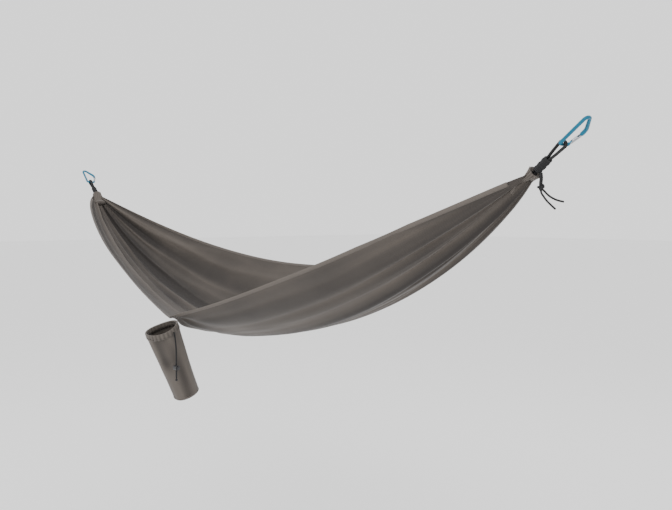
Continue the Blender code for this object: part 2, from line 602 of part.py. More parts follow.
def drawcord(parent, lock_parent, button_parent):
    start = drawcord_exit()
    side = Vector((math.cos(STRAND_TURN), math.sin(STRAND_TURN), 0))
    along = Vector((side.y, -side.x, 0))  # the lock's barrel lies along it, button outwards
    lock = start + along * (LOCK_ROOM + LOCK_RADIUS) + Vector((0, 0, -LOCK_DROP))
    knot = lock + Vector((0, 0, -TAIL_DROP))
    for sign, letter in ((-1, "a"), (1, "b")):
        step = side * sign * (DRAWCORD_RADIUS + GAP)
        route = [start + step, start + step + along * 0.004 + Vector((0, 0, -0.006)),
                 start + step + along * 0.009 + Vector((0, 0, -0.030)), lock + step + Vector((0, 0, 0.5 * LOCK_DROP)),
                 lock + step + Vector((0, 0, 0.2 * LOCK_DROP)), lock + step + Vector((0, 0, 0.012)),
                 lock + step, lock + step + Vector((0, 0, -0.012)), knot + step + Vector((0, 0, END_KNOT_RADIUS + GAP))]
        cord(f"drawcord_leg_{letter}", smooth_route(route, 0.0045), DRAWCORD_RADIUS, CORD, parent)
    lump = bmesh.new()
    bmesh.ops.create_icosphere(lump, subdivisions=2, radius=END_KNOT_RADIUS)
    place("drawcord_end_knot", mesh_of("end_knot", lump), CORD, parent, Matrix.Translation(knot))

    half = LOCK_LENGTH / 2
    z = Vector((0, 0, 1))
    barrel = cylinder("barrel", LOCK_RADIUS, -along * half, along * half, 24)
    bore = cylinder("bore", LOCK_BORE, -along * (half - LOCK_WALL), along * (half + LOCK_RADIUS), 24)
    hole = cylinder("hole", LOCK_HOLE, -z * 0.02, z * 0.02, 20)
    place("cord_lock_barrel", combined("barrel", barrel, removed=(bore, hole)), PLASTIC, lock_parent,
          Matrix.Translation(lock))
    tip = half + BUTTON_OUT
    stem = cylinder("stem", BUTTON_RADIUS, along * (tip - BUTTON_LENGTH), along * tip, 24)
    slot = [cylinder("slot", LOCK_HOLE, -z * 0.02 + along * s, z * 0.02 + along * s, 20)
            for s in steps(0, BUTTON_TRAVEL, 4)]
    place("cord_lock_button", combined("button", stem, removed=slot), PLASTIC, button_parent,
          Matrix.Translation(lock))
    wire = 0.0004
    coil_start, coil_end = -half + LOCK_WALL + wire + GAP, tip - BUTTON_LENGTH - wire - GAP
    turn = Vector((0, 1, 0)).rotation_difference(along).to_matrix().to_4x4()
    cord("cord_lock_spring", helix(0.0030, coil_start, coil_end, 2, 10), wire, STEEL, lock_parent,
         Matrix.Translation(lock) @ turn)


def main():
    for old in list(bpy.data.objects):
        bpy.data.objects.remove(old)
    bed_axis = place("bed_axis", None, None, None, Matrix.Translation(hang_frame(-1) @ Vector((-LOAD_LENGTH, 0, 0))))
    undo = bed_axis.matrix_basis.inverted()
    bed = place("bed_frame", None, None, bed_axis, undo)
    bed_panel(bed)
    bed_hem("near_edge_hem", -1, bed)
    bed_hem("far_edge_hem", 1, bed)
    body_mesh, gate_data = carabiner_body(), gate_mesh()
    for side, word in ((-1, "left"), (1, "right")):
        end_channel(f"{word}_end_channel", side, bed)
        suspension(side, word, bed)
        holder = place(f"{word}_carabiner", None, None, None if side < 0 else bed)
        carabiner(side, word, holder, body_mesh, gate_data)
    pivot = sack_frames()[0]
    swing = place("sack_swing", None, None, bed, Matrix.Translation(pivot))
    sack = place("sack_frame", None, None, swing, Matrix.Translation(-pivot))
    tape_mesh, tape_centre = stuff_sack(sack)
    place("sack_tape", tape_mesh, FABRIC, bed, Matrix.Translation(tape_centre))
    lock = place("cord_lock", None, None, sack)
    button = place("lock_button", None, None, lock)
    drawcord(sack, lock, button)


main()
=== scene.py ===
"""Looks of a camping hammock: a gathered bed, cord loops, two carabiners and a stuff sack."""

import json
import logging
import math
from collections.abc import Callable
from dataclasses import dataclass
from enum import Enum

import bmesh
import bpy
import numpy as np
from mathutils import Matrix, Vector


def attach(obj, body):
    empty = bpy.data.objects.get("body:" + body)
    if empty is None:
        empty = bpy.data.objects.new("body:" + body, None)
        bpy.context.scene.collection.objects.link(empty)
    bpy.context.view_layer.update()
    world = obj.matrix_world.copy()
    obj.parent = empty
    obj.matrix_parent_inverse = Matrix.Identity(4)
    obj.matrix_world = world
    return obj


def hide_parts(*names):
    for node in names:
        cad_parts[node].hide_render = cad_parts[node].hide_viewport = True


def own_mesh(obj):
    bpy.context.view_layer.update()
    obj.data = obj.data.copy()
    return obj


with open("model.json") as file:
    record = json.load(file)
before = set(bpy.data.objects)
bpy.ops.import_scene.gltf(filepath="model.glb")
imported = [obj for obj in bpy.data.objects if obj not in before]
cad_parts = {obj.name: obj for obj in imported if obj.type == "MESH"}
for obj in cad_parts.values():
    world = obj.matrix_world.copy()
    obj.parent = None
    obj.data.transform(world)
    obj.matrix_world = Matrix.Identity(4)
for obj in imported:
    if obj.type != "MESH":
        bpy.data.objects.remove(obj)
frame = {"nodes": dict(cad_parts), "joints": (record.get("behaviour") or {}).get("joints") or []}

LOG = logging.getLogger("hammock")
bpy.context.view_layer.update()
TURN = 2 * math.pi

MERGE_DISTANCE = 1e-6
FLAT_ANGLE = math.radians(1.0)  # faces that turn less than this are one face
SHARP_ANGLE = math.radians(38)  # edges that turn more than this stay crisp
TIP_SHARE = 0.45  # of a cord's radius that its end bulges
BRAID_LEVEL = 0.4  # middle of the braid's relief, taken off so that the radius holds

Piece = bpy.types.Object
Tree = bpy.types.NodeTree
Socket = bpy.types.NodeSocket
Relief = Callable[[np.ndarray, np.ndarray], np.ndarray]


class End(Enum):
    """Which end of the hammock a piece is at; the value is its sign along X."""

    LEFT = -1
    RIGHT = 1

    @property
    def word(self) -> str:
        """The word that names of this end's pieces start with."""
        return self.name.lower()


# ---------- numpy surfaces and meshes ----------

def unit(vectors: np.ndarray) -> np.ndarray:
    """Vectors of length one.

    Args:
        vectors: array whose last axis holds x, y and z.

    Returns:
        The same array with each vector divided by its length.
    """
    return vectors / np.maximum(np.linalg.norm(vectors, axis=-1, keepdims=True), 1e-12)


def steps_of(path: np.ndarray) -> np.ndarray:
    """Distances from each point of a path to the next."""
    return np.linalg.norm(np.diff(path, axis=0), axis=1)


def run_of(path: np.ndarray) -> np.ndarray:
    """Distance along a path at each of its points, from 0."""
    return np.concatenate([[0], np.cumsum(steps_of(path))])


def whole_turn(sides: int) -> np.ndarray:
    """Evenly spaced angles round one turn."""
    return TURN * np.arange(sides) / sides


def spokes(angle: np.ndarray, side: np.ndarray, up: np.ndarray) -> np.ndarray:
    """Directions at these angles from side towards up, on a new last axis."""
    return np.cos(angle)[..., None] * side + np.sin(angle)[..., None] * up


def smooth_route(points: np.ndarray, spacing: float) -> np.ndarray:
    """Evenly spaced points on the Catmull-Rom curve through a route's points.

    Each stretch is the cubic 0.5 (2b + (c-a)u + (2a-5b+4c-d)u^2 + (3b-a-3c+d)u^3) between b and c.

    Args:
        points: the route's own points, n by 3.
        spacing: distance between the points wanted, in metres.

    Returns:
        Points along the curve.
    """
    points = np.asarray(points, float)
    padded = np.vstack([2 * points[0] - points[1], points, 2 * points[-1] - points[-2]])
    a, b, c, d = (padded[i:len(padded) - 3 + i, None] for i in range(4))
    u = np.linspace(0, 1, 32, endpoint=False)[None, :, None]
    fine = 0.5 * (2 * b + (c - a) * u + (2 * a - 5 * b + 4 * c - d) * u**2
                  + (3 * b - a - 3 * c + d) * u**3)
    fine = np.vstack([fine.reshape(-1, 3), points[-1]])
    along = run_of(fine)
    stops = np.linspace(0, along[-1], max(4, round(along[-1] / spacing) + 1))
    return np.stack([np.interp(stops, along, fine[:, axis]) for axis in range(3)], axis=1)


def make_mesh(name: str, verts: np.ndarray, faces: list, attributes: dict | None = None) -> Piece:
    """An object of these vertices and faces, smooth shaded, at the origin.

    Args:
        name: the piece's name.
        verts: n by 3 array.
        faces: tuples of vertex numbers.
        attributes: name to one number per vertex.

    Returns:
        The new object.
    """
    mesh = bpy.data.meshes.new(name)
    mesh.from_pydata(verts.tolist(), [], faces)
    for key, values in (attributes or {}).items():
        layer = mesh.attributes.new(key, "FLOAT", "POINT")
        layer.data.foreach_set("value", np.asarray(values, np.float32).ravel())
    mesh.shade_smooth()
    mesh.update()
    made = bpy.data.objects.new(name, mesh)
    bpy.context.scene.collection.objects.link(made)
    return made


def grid_faces(rows: int, columns: int, wrap_rows: bool = False,
               wrap_columns: bool = False) -> np.ndarray:
    """Quads of a grid whose vertices are numbered row by row.

    Args:
        rows: number of rows.
        columns: number of columns.
        wrap_rows: whether the last row joins the first.
        wrap_columns: whether the last column joins the first.

    Returns:
        m by 4 array of vertex numbers.
    """
    i = np.arange(rows if wrap_rows else rows - 1)[:, None]
    j = np.arange(columns if wrap_columns else columns - 1)[None, :]
    below, beside = (i + 1) % rows, (j + 1) % columns
    quads = np.stack([i * columns + j, i * columns + beside, below * columns + beside,
                      below * columns + j], -1)
    return quads.reshape(-1, 4)


def tipped_faces(rows: int, sides: int) -> list:
    """Faces of rings closed by a point at each end, where the two points come after the rings.

    Args:
        rows: number of rings.
        sides: points in each ring.

    Returns:
        Quads between the rings, then the fans at the first and the last ring.
    """
    first, last, rim = rows * sides, rows * sides + 1, (rows - 1) * sides
    faces = grid_faces(rows, sides, wrap_columns=True).tolist()
    faces += [(first, (k + 1) % sides, k) for k in range(sides)]
    faces += [(last, rim + k, rim + (k + 1) % sides) for k in range(sides)]
    return faces


def thicken(piece: Piece, wall: float) -> Piece:
    """Gives a sheet its thickness, half to each side.

    Args:
        piece: a one-sided sheet.
        wall: the thickness, in metres.

    Returns:
        The same object.
    """
    cloth = piece.modifiers.new("cloth", "SOLIDIFY")
    cloth.thickness = wall
    cloth.offset = 0
    return piece


def tube(name: str, path: np.ndarray, radius: np.ndarray | float, level: np.ndarray,
         sides: int = 28, relief: Relief | None = None) -> Piece:
    """A round cord or bar: a circle carried along a path, closed by a point at each end.

    A ring's point at angle a is path + r(a, s) (cos a side + sin a up), where side lies across
    both level and the path.

    Args:
        name: the piece's name.
        path: n by 3 centreline.
        radius: one radius, or one per path point.
        level: a direction that the path never runs along.
        sides: points in each ring.
        relief: function of (angle, distance along) giving the share by which the radius grows.

    Returns:
        The new object.
    """
    ahead = unit(np.gradient(path, axis=0))
    side = unit(np.cross(ahead, np.asarray(level, float)))
    up = np.cross(side, ahead)
    run = run_of(path)
    angle = whole_turn(sides)
    size = np.broadcast_to(np.asarray(radius, float), (len(path),))[:, None]
    grown = size * (1 + (relief(angle[None, :], run[:, None]) if relief else 0))
    around = spokes(angle[None, :], side[:, None], up[:, None])
    rings = path[:, None] + grown[..., None] * around
    tip = TIP_SHARE * float(size[0, 0])
    verts = np.vstack([rings.reshape(-1, 3), path[0] - tip * ahead[0], path[-1] + tip * ahead[-1]])
    return outward(make_mesh(name, verts, tipped_faces(len(path), sides)))


def outward(piece: Piece) -> Piece:
    """Turns a closed piece's faces outwards.

    Args:
        piece: a mesh object.

    Returns:
        The same object.
    """
    shape = bmesh.new()
    shape.from_mesh(piece.data)
    bmesh.ops.recalc_face_normals(shape, faces=shape.faces[:])
    shape.to_mesh(piece.data)
    shape.free()
    return piece


def braid(strands: int, pitch: float, depth: float = 0.055) -> Relief:
    """The relief of a braided sheath: the higher of two sets of strands wound opposite ways.

    Args:
        strands: strands in each set.
        pitch: length of one turn of a strand, in metres.
        depth: share of the radius that the strands stand out.

    Returns:
        A function of angle and distance along.
    """
    def relief(angle: np.ndarray, run: np.ndarray) -> np.ndarray:
        """The share of the radius to add at this angle and distance."""
        one = np.sin(strands * angle + TURN * run * strands / pitch)
        two = np.sin(strands * angle - TURN * run * strands / pitch)
        return depth * (np.maximum(one, two) - BRAID_LEVEL)
    return relief


def stitches(name: str, centres: np.ndarray, along: np.ndarray, out: np.ndarray,
             size: tuple) -> Piece:
    """A row of stitches: each is a spindle whose radius follows the sine of the distance along it.

    Args:
        name: the piece's name.
        centres: n by 3 places.
        along: n by 3 directions of each stitch.
        out: n by 3 directions out of the cloth.
        size: length and radius of a stitch.

    Returns:
        One object of all the stitches.
    """
    length, radius = size
    across = unit(np.cross(along, out))
    s = np.array([-0.5, -0.3, 0.3, 0.5])
    swell = np.array([0.35, 1.0, 1.0, 0.35]) * radius
    sides, rows = 6, len(s)
    count = rows * sides
    around = spokes(whole_turn(sides)[None, None, :], across[:, None, None], out[:, None, None])
    rings = (centres[:, None, None] + length * s[None, :, None, None] * along[:, None, None]
             + swell[None, :, None, None] * around)
    one = grid_faces(rows, sides, wrap_columns=True).tolist()
    one += [tuple(range(sides - 1, -1, -1)), tuple(range(count - sides, count))]
    faces = [tuple(v + count * k for v in face) for k in range(len(centres)) for face in one]
    return outward(make_mesh(name, rings.reshape(-1, 3), faces))


def polish(node: str, bevel: float) -> Piece:
    """A smoothly shaded, bevelled copy of a CAD piece, to show in its place.

    Args:
        node: the CAD node's name.
        bevel: width of the broken edges, in metres.

    Returns:
        The new object.
    """
    shape = bmesh.new()
    shape.from_mesh(frame["nodes"][node].data)
    bmesh.ops.remove_doubles(shape, verts=shape.verts[:], dist=MERGE_DISTANCE)
    bmesh.ops.dissolve_limit(shape, angle_limit=FLAT_ANGLE, verts=shape.verts[:],
                             edges=shape.edges[:])
    bmesh.ops.triangulate(shape, faces=[f for f in shape.faces if len(f.verts) > 4])
    mesh = bpy.data.meshes.new(node + "_piece")
    shape.to_mesh(mesh)
    shape.free()
    mesh.shade_smooth()
    mesh.set_sharp_from_angle(angle=SHARP_ANGLE)
    made = bpy.data.objects.new(node + "_piece", mesh)
    bpy.context.scene.collection.objects.link(made)
    if bevel:
        edge = made.modifiers.new("edge", "BEVEL")
        edge.width = bevel
        edge.segments = 2
        edge.limit_method = "ANGLE"
        edge.angle_limit = SHARP_ANGLE
        edge.harden_normals = False
    return made


# ---------- finishes ----------

def new_group(name: str, inputs: dict, outputs: dict) -> Tree:
    """An empty shader node group with its sockets.

    Args:
        name: the group's name.
        inputs: socket name to (kind, default or None).
        outputs: socket name to kind.

    Returns:
        The group's node tree, holding its two end nodes.
    """
    group = bpy.data.node_groups.new(name, "ShaderNodeTree")
    for label, (kind, value) in inputs.items():
        socket = group.interface.new_socket(label, in_out="INPUT", socket_type=kind)
        if value is not None:
            socket.default_value = value
    for label, kind in outputs.items():
        group.interface.new_socket(label, in_out="OUTPUT", socket_type=kind)
    group.nodes.new("NodeGroupInput").name = "in"
    group.nodes.new("NodeGroupOutput").name = "out"
    return group


def math_node(tree: Tree, operation: str, first: Socket | float,
              second: Socket | float | None = None, clamp: bool = False) -> Socket:
    """A Math node fed by sockets or numbers.

    Args:
        tree: the node tree it goes in.
        operation: the Math node's operation.
        first: a socket or a number.
        second: a socket, a number or None.
        clamp: whether the result stays from 0 to 1.

    Returns:
        The node's output socket.
    """
    node = tree.nodes.new("ShaderNodeMath")
    node.operation = operation
    node.use_clamp = clamp
    for socket, value in zip(node.inputs, (first, second)):
        if value is None:
            continue
        if isinstance(value, (int, float)):
            socket.default_value = value
        else:
            tree.links.new(value, socket)
    return node.outputs[0]


def build_weave_group() -> Tree:
    """Plain weave with a ripstop grid: a height, and a mask of the thicker grid threads.

    The height is the product of sines across and along the cloth, plus narrow ridges at every
    grid step.

    Returns:
        The group, whose inputs are the cloth's place in metres, thread pitch and grid pitch.
    """
    group = new_group("woven_cloth",
                      {"Along": ("NodeSocketFloat", 0.0), "Across": ("NodeSocketFloat", 0.0),
                       "Threads": ("NodeSocketFloat", 2200.0), "Grid": ("NodeSocketFloat", 160.0)},
                      {"Height": "NodeSocketFloat", "Grid Mask": "NodeSocketFloat"})
    start, end = group.nodes["in"], group.nodes["out"]
    ridge_share, wave_height = 0.12, 0.35  # of a grid step, and of a ridge's height
    waves, ridges = [], []
    for label in ("Along", "Across"):
        waves.append(math_node(group, "SINE", math_node(group, "MULTIPLY", start.outputs[label],
                                                        start.outputs["Threads"])))
        step = math_node(group, "FRACT",
                         math_node(group, "MULTIPLY", start.outputs[label], start.outputs["Grid"]))
        ridges.append(math_node(group, "LESS_THAN", step, ridge_share))
    grid = math_node(group, "MAXIMUM", ridges[0], ridges[1])
    weave = math_node(group, "MULTIPLY", waves[0], waves[1])
    height = math_node(group, "ADD", math_node(group, "MULTIPLY", weave, wave_height), grid)
    group.links.new(height, end.inputs["Height"])
    group.links.new(grid, end.inputs["Grid Mask"])
    return group


def build_wear_group() -> Tree:
    """Uneven tone and fine grain: two sizes of noise mixed to a mask, and a fine height.

    Returns:
        The group, whose inputs are a place and a scale.
    """
    group = new_group("uneven_tone",
                      {"Place": ("NodeSocketVector", None), "Coarse": ("NodeSocketFloat", 6.0)},
                      {"Tone": "NodeSocketFloat", "Grain": "NodeSocketFloat"})
    start, end = group.nodes["in"], group.nodes["out"]
    finer, coarse_share, fine_share = 60.0, 0.7, 0.3
    coarse = group.nodes.new("ShaderNodeTexNoise")
    coarse.inputs["Detail"].default_value = 4.0
    group.links.new(start.outputs["Place"], coarse.inputs["Vector"])
    group.links.new(start.outputs["Coarse"], coarse.inputs["Scale"])
    fine = group.nodes.new("ShaderNodeTexNoise")
    fine.inputs["Detail"].default_value = 5.0
    group.links.new(start.outputs["Place"], fine.inputs["Vector"])
    group.links.new(math_node(group, "MULTIPLY", start.outputs["Coarse"], finer),
                    fine.inputs["Scale"])
    tone = math_node(group, "ADD",
                     math_node(group, "MULTIPLY", coarse.outputs["Fac"], coarse_share),
                     math_node(group, "MULTIPLY", fine.outputs["Fac"], fine_share))
    group.links.new(tone, end.inputs["Tone"])
    group.links.new(fine.outputs["Fac"], end.inputs["Grain"])
    return group


def shader_of(name: str) -> tuple:
    """A new material and its tree, shader node and Object-coordinate socket.

    Args:
        name: the material's name.

    Returns:
        (material, tree, Principled node, Object coordinates socket).
    """
    made = bpy.data.materials.new(name)
    made.use_nodes = True
    tree = made.node_tree
    place = tree.nodes.new("ShaderNodeTexCoord").outputs["Object"]
    return made, tree, tree.nodes["Principled BSDF"], place


def add_group(tree: Tree, group: Tree, links: dict, values: dict) -> bpy.types.Node:
    """A group node with its inputs linked or set.

    Args:
        tree: the material's tree.
        group: the shared group.
        links: input name to socket.
        values: input name to number.

    Returns:
        The group node.
    """
    node = tree.nodes.new("ShaderNodeGroup")
    node.node_tree = group
    for label, socket in links.items():
        tree.links.new(socket, node.inputs[label])
    for label, value in values.items():
        node.inputs[label].default_value = value
    return node


def mix_colours(tree: Tree, share: Socket, low: tuple, high: tuple) -> Socket:
    """A colour between two, by a mask.

    Args:
        tree: the node tree it goes in.
        share: socket of the mask.
        low: colour where the mask is 0.
        high: colour where it is 1.

    Returns:
        The colour socket.
    """
    node = tree.nodes.new("ShaderNodeValToRGB")
    node.color_ramp.elements[0].color = (*low, 1)
    node.color_ramp.elements[1].color = (*high, 1)
    node.color_ramp.elements[0].position = 0.25
    node.color_ramp.elements[1].position = 0.75
    tree.links.new(share, node.inputs["Fac"])
    return node.outputs["Color"]


def bump(tree: Tree, height: Socket, strength: float, distance: float,
         shader: bpy.types.Node) -> None:
    """Feeds a height to a shader's normal.

    Args:
        tree: the node tree.
        height: the height's socket.
        strength: share of the bump used.
        distance: height of the relief, in metres.
        shader: the Principled node.
    """
    node = tree.nodes.new("ShaderNodeBump")
    node.inputs["Strength"].default_value = strength
    node.inputs["Distance"].default_value = distance
    tree.links.new(height, node.inputs["Height"])
    tree.links.new(node.outputs["Normal"], shader.inputs["Normal"])


@dataclass(frozen=True)
class ClothFinish:
    """Woven nylon: grey-brown, matt with a faint sheen, darker down in its creases by painted
    shade.
    """

    name: str
    colour: tuple
    shade: tuple
    threads: float = 2600.0
    grid: float = 150.0
    roughness: float = 0.72
    coarse: float = 5.0
    crease_shade_share: float = 0.75  # of the colour mask that comes from the painted crease shade
    tone_share: float = 0.42
    grid_shade: float = 0.05
    gloss_spread: float = 0.12
    sheen: float = 0.12
    sheen_roughness: float = 0.4
    specular: float = 0.3
    relief: float = 0.00012
    relief_share: float = 0.35

    def build(self, groups: dict) -> bpy.types.Material:
        """The material; it reads the attributes run, span and fold of the cloth, where fold
        carries the painted shade of the creases.

        Args:
            groups: the shared node groups by name.

        Returns:
            The material.
        """
        made, tree, shader, place = shader_of(self.name)
        sockets = {}
        for key in ("run", "span", "fold"):
            node = tree.nodes.new("ShaderNodeAttribute")
            node.attribute_name = key
            sockets[key] = node.outputs["Fac"]
        weave = add_group(tree, groups["weave"],
                          {"Along": sockets["run"], "Across": sockets["span"]},
                          {"Threads": self.threads, "Grid": self.grid})
        tone = add_group(tree, groups["wear"], {"Place": place}, {"Coarse": self.coarse})
        # colour mask: painted crease shade from the fold attribute, plus random tone
        depth = math_node(tree, "ADD",
                          math_node(tree, "MULTIPLY", sockets["fold"], self.crease_shade_share),
                          math_node(tree, "MULTIPLY", tone.outputs["Tone"], self.tone_share),
                          clamp=True)
        lit = math_node(tree, "SUBTRACT", depth,
                        math_node(tree, "MULTIPLY", weave.outputs["Grid Mask"],
                                                       self.grid_shade))
        tree.links.new(mix_colours(tree, lit, self.shade, self.colour),
                       shader.inputs["Base Color"])
        rough = math_node(tree, "ADD", self.roughness - self.gloss_spread / 2,
                          math_node(tree, "MULTIPLY", tone.outputs["Grain"], self.gloss_spread))
        tree.links.new(rough, shader.inputs["Roughness"])
        shader.inputs["Sheen Weight"].default_value = self.sheen
        shader.inputs["Sheen Roughness"].default_value = self.sheen_roughness
        shader.inputs["Specular IOR Level"].default_value = self.specular
        bump(tree, weave.outputs["Height"], self.relief_share, self.relief, shader)
        return made


@dataclass(frozen=True)
class SolidFinish:
    """Metal, plastic or cord: a colour with uneven tone, and grain in its gloss and surface."""

    name: str
    colour: tuple
    second: tuple
    roughness: float
    metallic: float = 0.0
    coat: float = 0.0
    coarse: float = 60.0
    relief: float = 0.00002
    relief_share: float = 0.3
    gloss_spread: float = 0.16

    def build(self, groups: dict) -> bpy.types.Material:
        """The material, from Object coordinates.

        Args:
            groups: the shared node groups by name.

        Returns:
            The material.
        """
        made, tree, shader, place = shader_of(self.name)
        tone = add_group(tree, groups["wear"], {"Place": place}, {"Coarse": self.coarse})
        tree.links.new(mix_colours(tree, tone.outputs["Tone"], self.second, self.colour),
                       shader.inputs["Base Color"])
        rough = math_node(tree, "ADD", self.roughness - self.gloss_spread / 2,
                          math_node(tree, "MULTIPLY", tone.outputs["Grain"], self.gloss_spread))
        tree.links.new(rough, shader.inputs["Roughness"])
        shader.inputs["Metallic"].default_value = self.metallic
        shader.inputs["Coat Weight"].default_value = self.coat
        bump(tree, tone.outputs["Grain"], self.relief_share, self.relief, shader)
        return made


FINISHES = {
    "bed_fabric": ClothFinish("bed_nylon", (0.090, 0.076, 0.065), (0.024, 0.020, 0.018)),
    # a lighter copy of the bed's nylon: painted highlight on the rolled hems, the gathered ends
    # and the sack's tape
    "hem_fabric": ClothFinish("lit_hem_nylon", (0.108, 0.093, 0.081), (0.050, 0.042, 0.037)),
    "sack_fabric": ClothFinish("sack_nylon", (0.098, 0.084, 0.073), (0.038, 0.032, 0.028)),
    "black_cord": SolidFinish("braided_cord", (0.006, 0.006, 0.007), (0.0025, 0.0025, 0.003), 0.75,
                              coarse=220.0, relief=0.00008),
    "thread": SolidFinish("sewing_thread", (0.12, 0.103, 0.090), (0.08, 0.068, 0.06), 0.6,
                          coarse=300.0),
    "anodised_blue": SolidFinish("anodised_aluminium", (0.004, 0.150, 0.250),
                                 (0.003, 0.110, 0.190), 0.36, metallic=0.55, coat=0.10,
                                 coarse=40.0),
    "gate_silver": SolidFinish("bright_aluminium", (0.42, 0.43, 0.45), (0.33, 0.34, 0.36), 0.38,
                               metallic=0.9, coarse=50.0),
    "spring_steel": SolidFinish("spring_steel", (0.50, 0.51, 0.53), (0.36, 0.37, 0.39), 0.32,
                                metallic=1.0),
    "black_plastic": SolidFinish("moulded_plastic", (0.022, 0.022, 0.024), (0.013, 0.013, 0.015),
                                 0.45, coarse=90.0, relief=0.00005),
}


class Wardrobe:
    """Builds each finish once and puts it on pieces."""

    def __init__(self) -> None:
        """Builds the shared groups and every material."""
        groups = {"weave": build_weave_group(), "wear": build_wear_group()}
        self.materials = {key: finish.build(groups) for key, finish in FINISHES.items()}

    def dress(self, piece: Piece, key: str, body: str,
              replaces: tuple = ()) -> None:
        """Gives a piece its material, its body and the CAD nodes it stands for.

        Args:
            piece: the new piece.
            key: the finish's name in FINISHES.
            body: the CAD body it rides on.
            replaces: the CAD nodes that it stands for.
        """
        piece.data.materials.clear()
        piece.data.materials.append(self.materials[key])
        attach(piece, body)
        if replaces:
            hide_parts(*replaces)
        LOG.info("%s rides on %s in %s", piece.name, body, key)


# ---------- the hammock's shared shape ----------

@dataclass(frozen=True)
class HangLine:
    """Where the hammock hangs: bearing points, load lines and gathers."""

    angle: float = math.radians(39.0)
    load_length: float = 0.08416636671  # strap's bearing point to the cord's seat in a carabiner
    cord_reach: float = 0.0965
    gather_span: float = 2.566

    @property
    def reach(self) -> float:
        """From the strap's bearing point to the fabric's end."""
        return self.load_length + self.cord_reach

    @property
    def gather(self) -> np.ndarray:
        """The left gather."""
        return np.array([self.reach * math.cos(self.angle), 0.0,
                         -self.reach * math.sin(self.angle)])

    @property
    def span(self) -> float:
        """Between the two bearing points."""
        return self.gather_span + 2 * self.gather[0]

    def axes(self, end: End) -> tuple:
        """The bearing point and the unit vectors up the load line, across and out of its plane.

        Args:
            end: which end.

        Returns:
            (origin, up, across, out) as arrays.
        """
        up = np.array([end.value * math.cos(self.angle), 0.0, math.sin(self.angle)])
        across = np.array([0.0, 1.0, 0.0])
        origin = np.array([0.0 if end is End.LEFT else self.span, 0.0, 0.0])
        return origin, up, across, np.cross(up, across)

    def world(self, end: End, points: np.ndarray) -> np.ndarray:
        """Points given along up, across and out of an end's axes, in the row frame.

        Args:
            end: which end.
            points: n by 3.

        Returns:
            n by 3.
        """
        origin, up, across, out = self.axes(end)
        points = np.asarray(points, float)
        return origin + points[:, :1] * up + points[:, 1:2] * across + points[:, 2:3] * out


LINE = HangLine()


# ---------- camera ----------

@dataclass(frozen=True)
class Studio:
    """The camera's stand, the pale floor and the soft lights."""

    stand: tuple = (2.4854, -1.6029, -0.1047)  # from midway between the gathers
    yaw: float = 0.88333
    pitch: float = -0.04799
    lens_share: float = 1.21053  # focal length over the picture's width
    clip_end: float = 100.0
    floor_drop: float = 1.55
    floor_half: float = 40.0
    floor_tone: tuple = (0.92, 0.92, 0.92, 1)
    world_strength: float = 1.45
    aim_height: float = -0.45
    # each light: name, place from the bed's middle, side and watts
    lights: tuple = (("key_light", (1.6, -2.6, 2.6), 2.2, 60.0),
                     ("fill_light", (-2.8, -2.0, 1.2), 2.5, 12.0),
                     ("rim_light", (0.5, 3.0, 2.4), 2.0, 25.0))

    def camera(self) -> None:
        """Puts up the camera, which looks left along the bed from beyond its right end."""
        data = bpy.data.cameras.new("camera")
        data.sensor_width = 36.0
        data.lens = self.lens_share * data.sensor_width
        data.clip_end = self.clip_end
        made = bpy.data.objects.new("camera", data)
        bpy.context.scene.collection.objects.link(made)
        middle = np.array([LINE.span / 2, 0.0, LINE.gather[2]])
        made.location = Vector(middle + np.array(self.stand))
        made.rotation_euler = (math.pi / 2 + self.pitch, 0.0, self.yaw)
        bpy.context.scene.camera = made

    def light(self, name: str, place: tuple, size: float, power: float) -> None:
        """One square area light that faces the bed's middle.

        Args:
            name: its name.
            place: where it stands, from the bed's middle.
            size: its side.
            power: its power in watts.
        """
        data = bpy.data.lights.new(name, "AREA")
        data.size = size
        data.energy = power
        made = bpy.data.objects.new(name, data)
        bpy.context.scene.collection.objects.link(made)
        target = Vector((LINE.span / 2, 0.0, self.aim_height))
        made.location = target + Vector(place)
        made.rotation_euler = (target - made.location).to_track_quat("-Z", "Y").to_euler()

    def build(self) -> None:
        """The floor, the world's even light and the area lights."""
        half, low = self.floor_half, -self.floor_drop
        corners = [[-half, -half, low], [half, -half, low], [half, half, low], [-half, half, low]]
        floor = make_mesh("studio_floor", np.array(corners), [(0, 1, 2, 3)])
        pale = bpy.data.materials.new("pale_floor")
        pale.use_nodes = True
        shader = pale.node_tree.nodes["Principled BSDF"]
        shader.inputs["Base Color"].default_value = self.floor_tone
        shader.inputs["Roughness"].default_value = 0.9
        floor.data.materials.append(pale)
        world = bpy.data.worlds.new("studio")
        world.use_nodes = True
        sky = world.node_tree.nodes["Background"]
        sky.inputs["Color"].default_value = (1, 1, 1, 1)
        sky.inputs["Strength"].default_value = self.world_strength
        bpy.context.scene.world = world
        for row in self.lights:
            self.light(*row)


# ---------- bed ----------

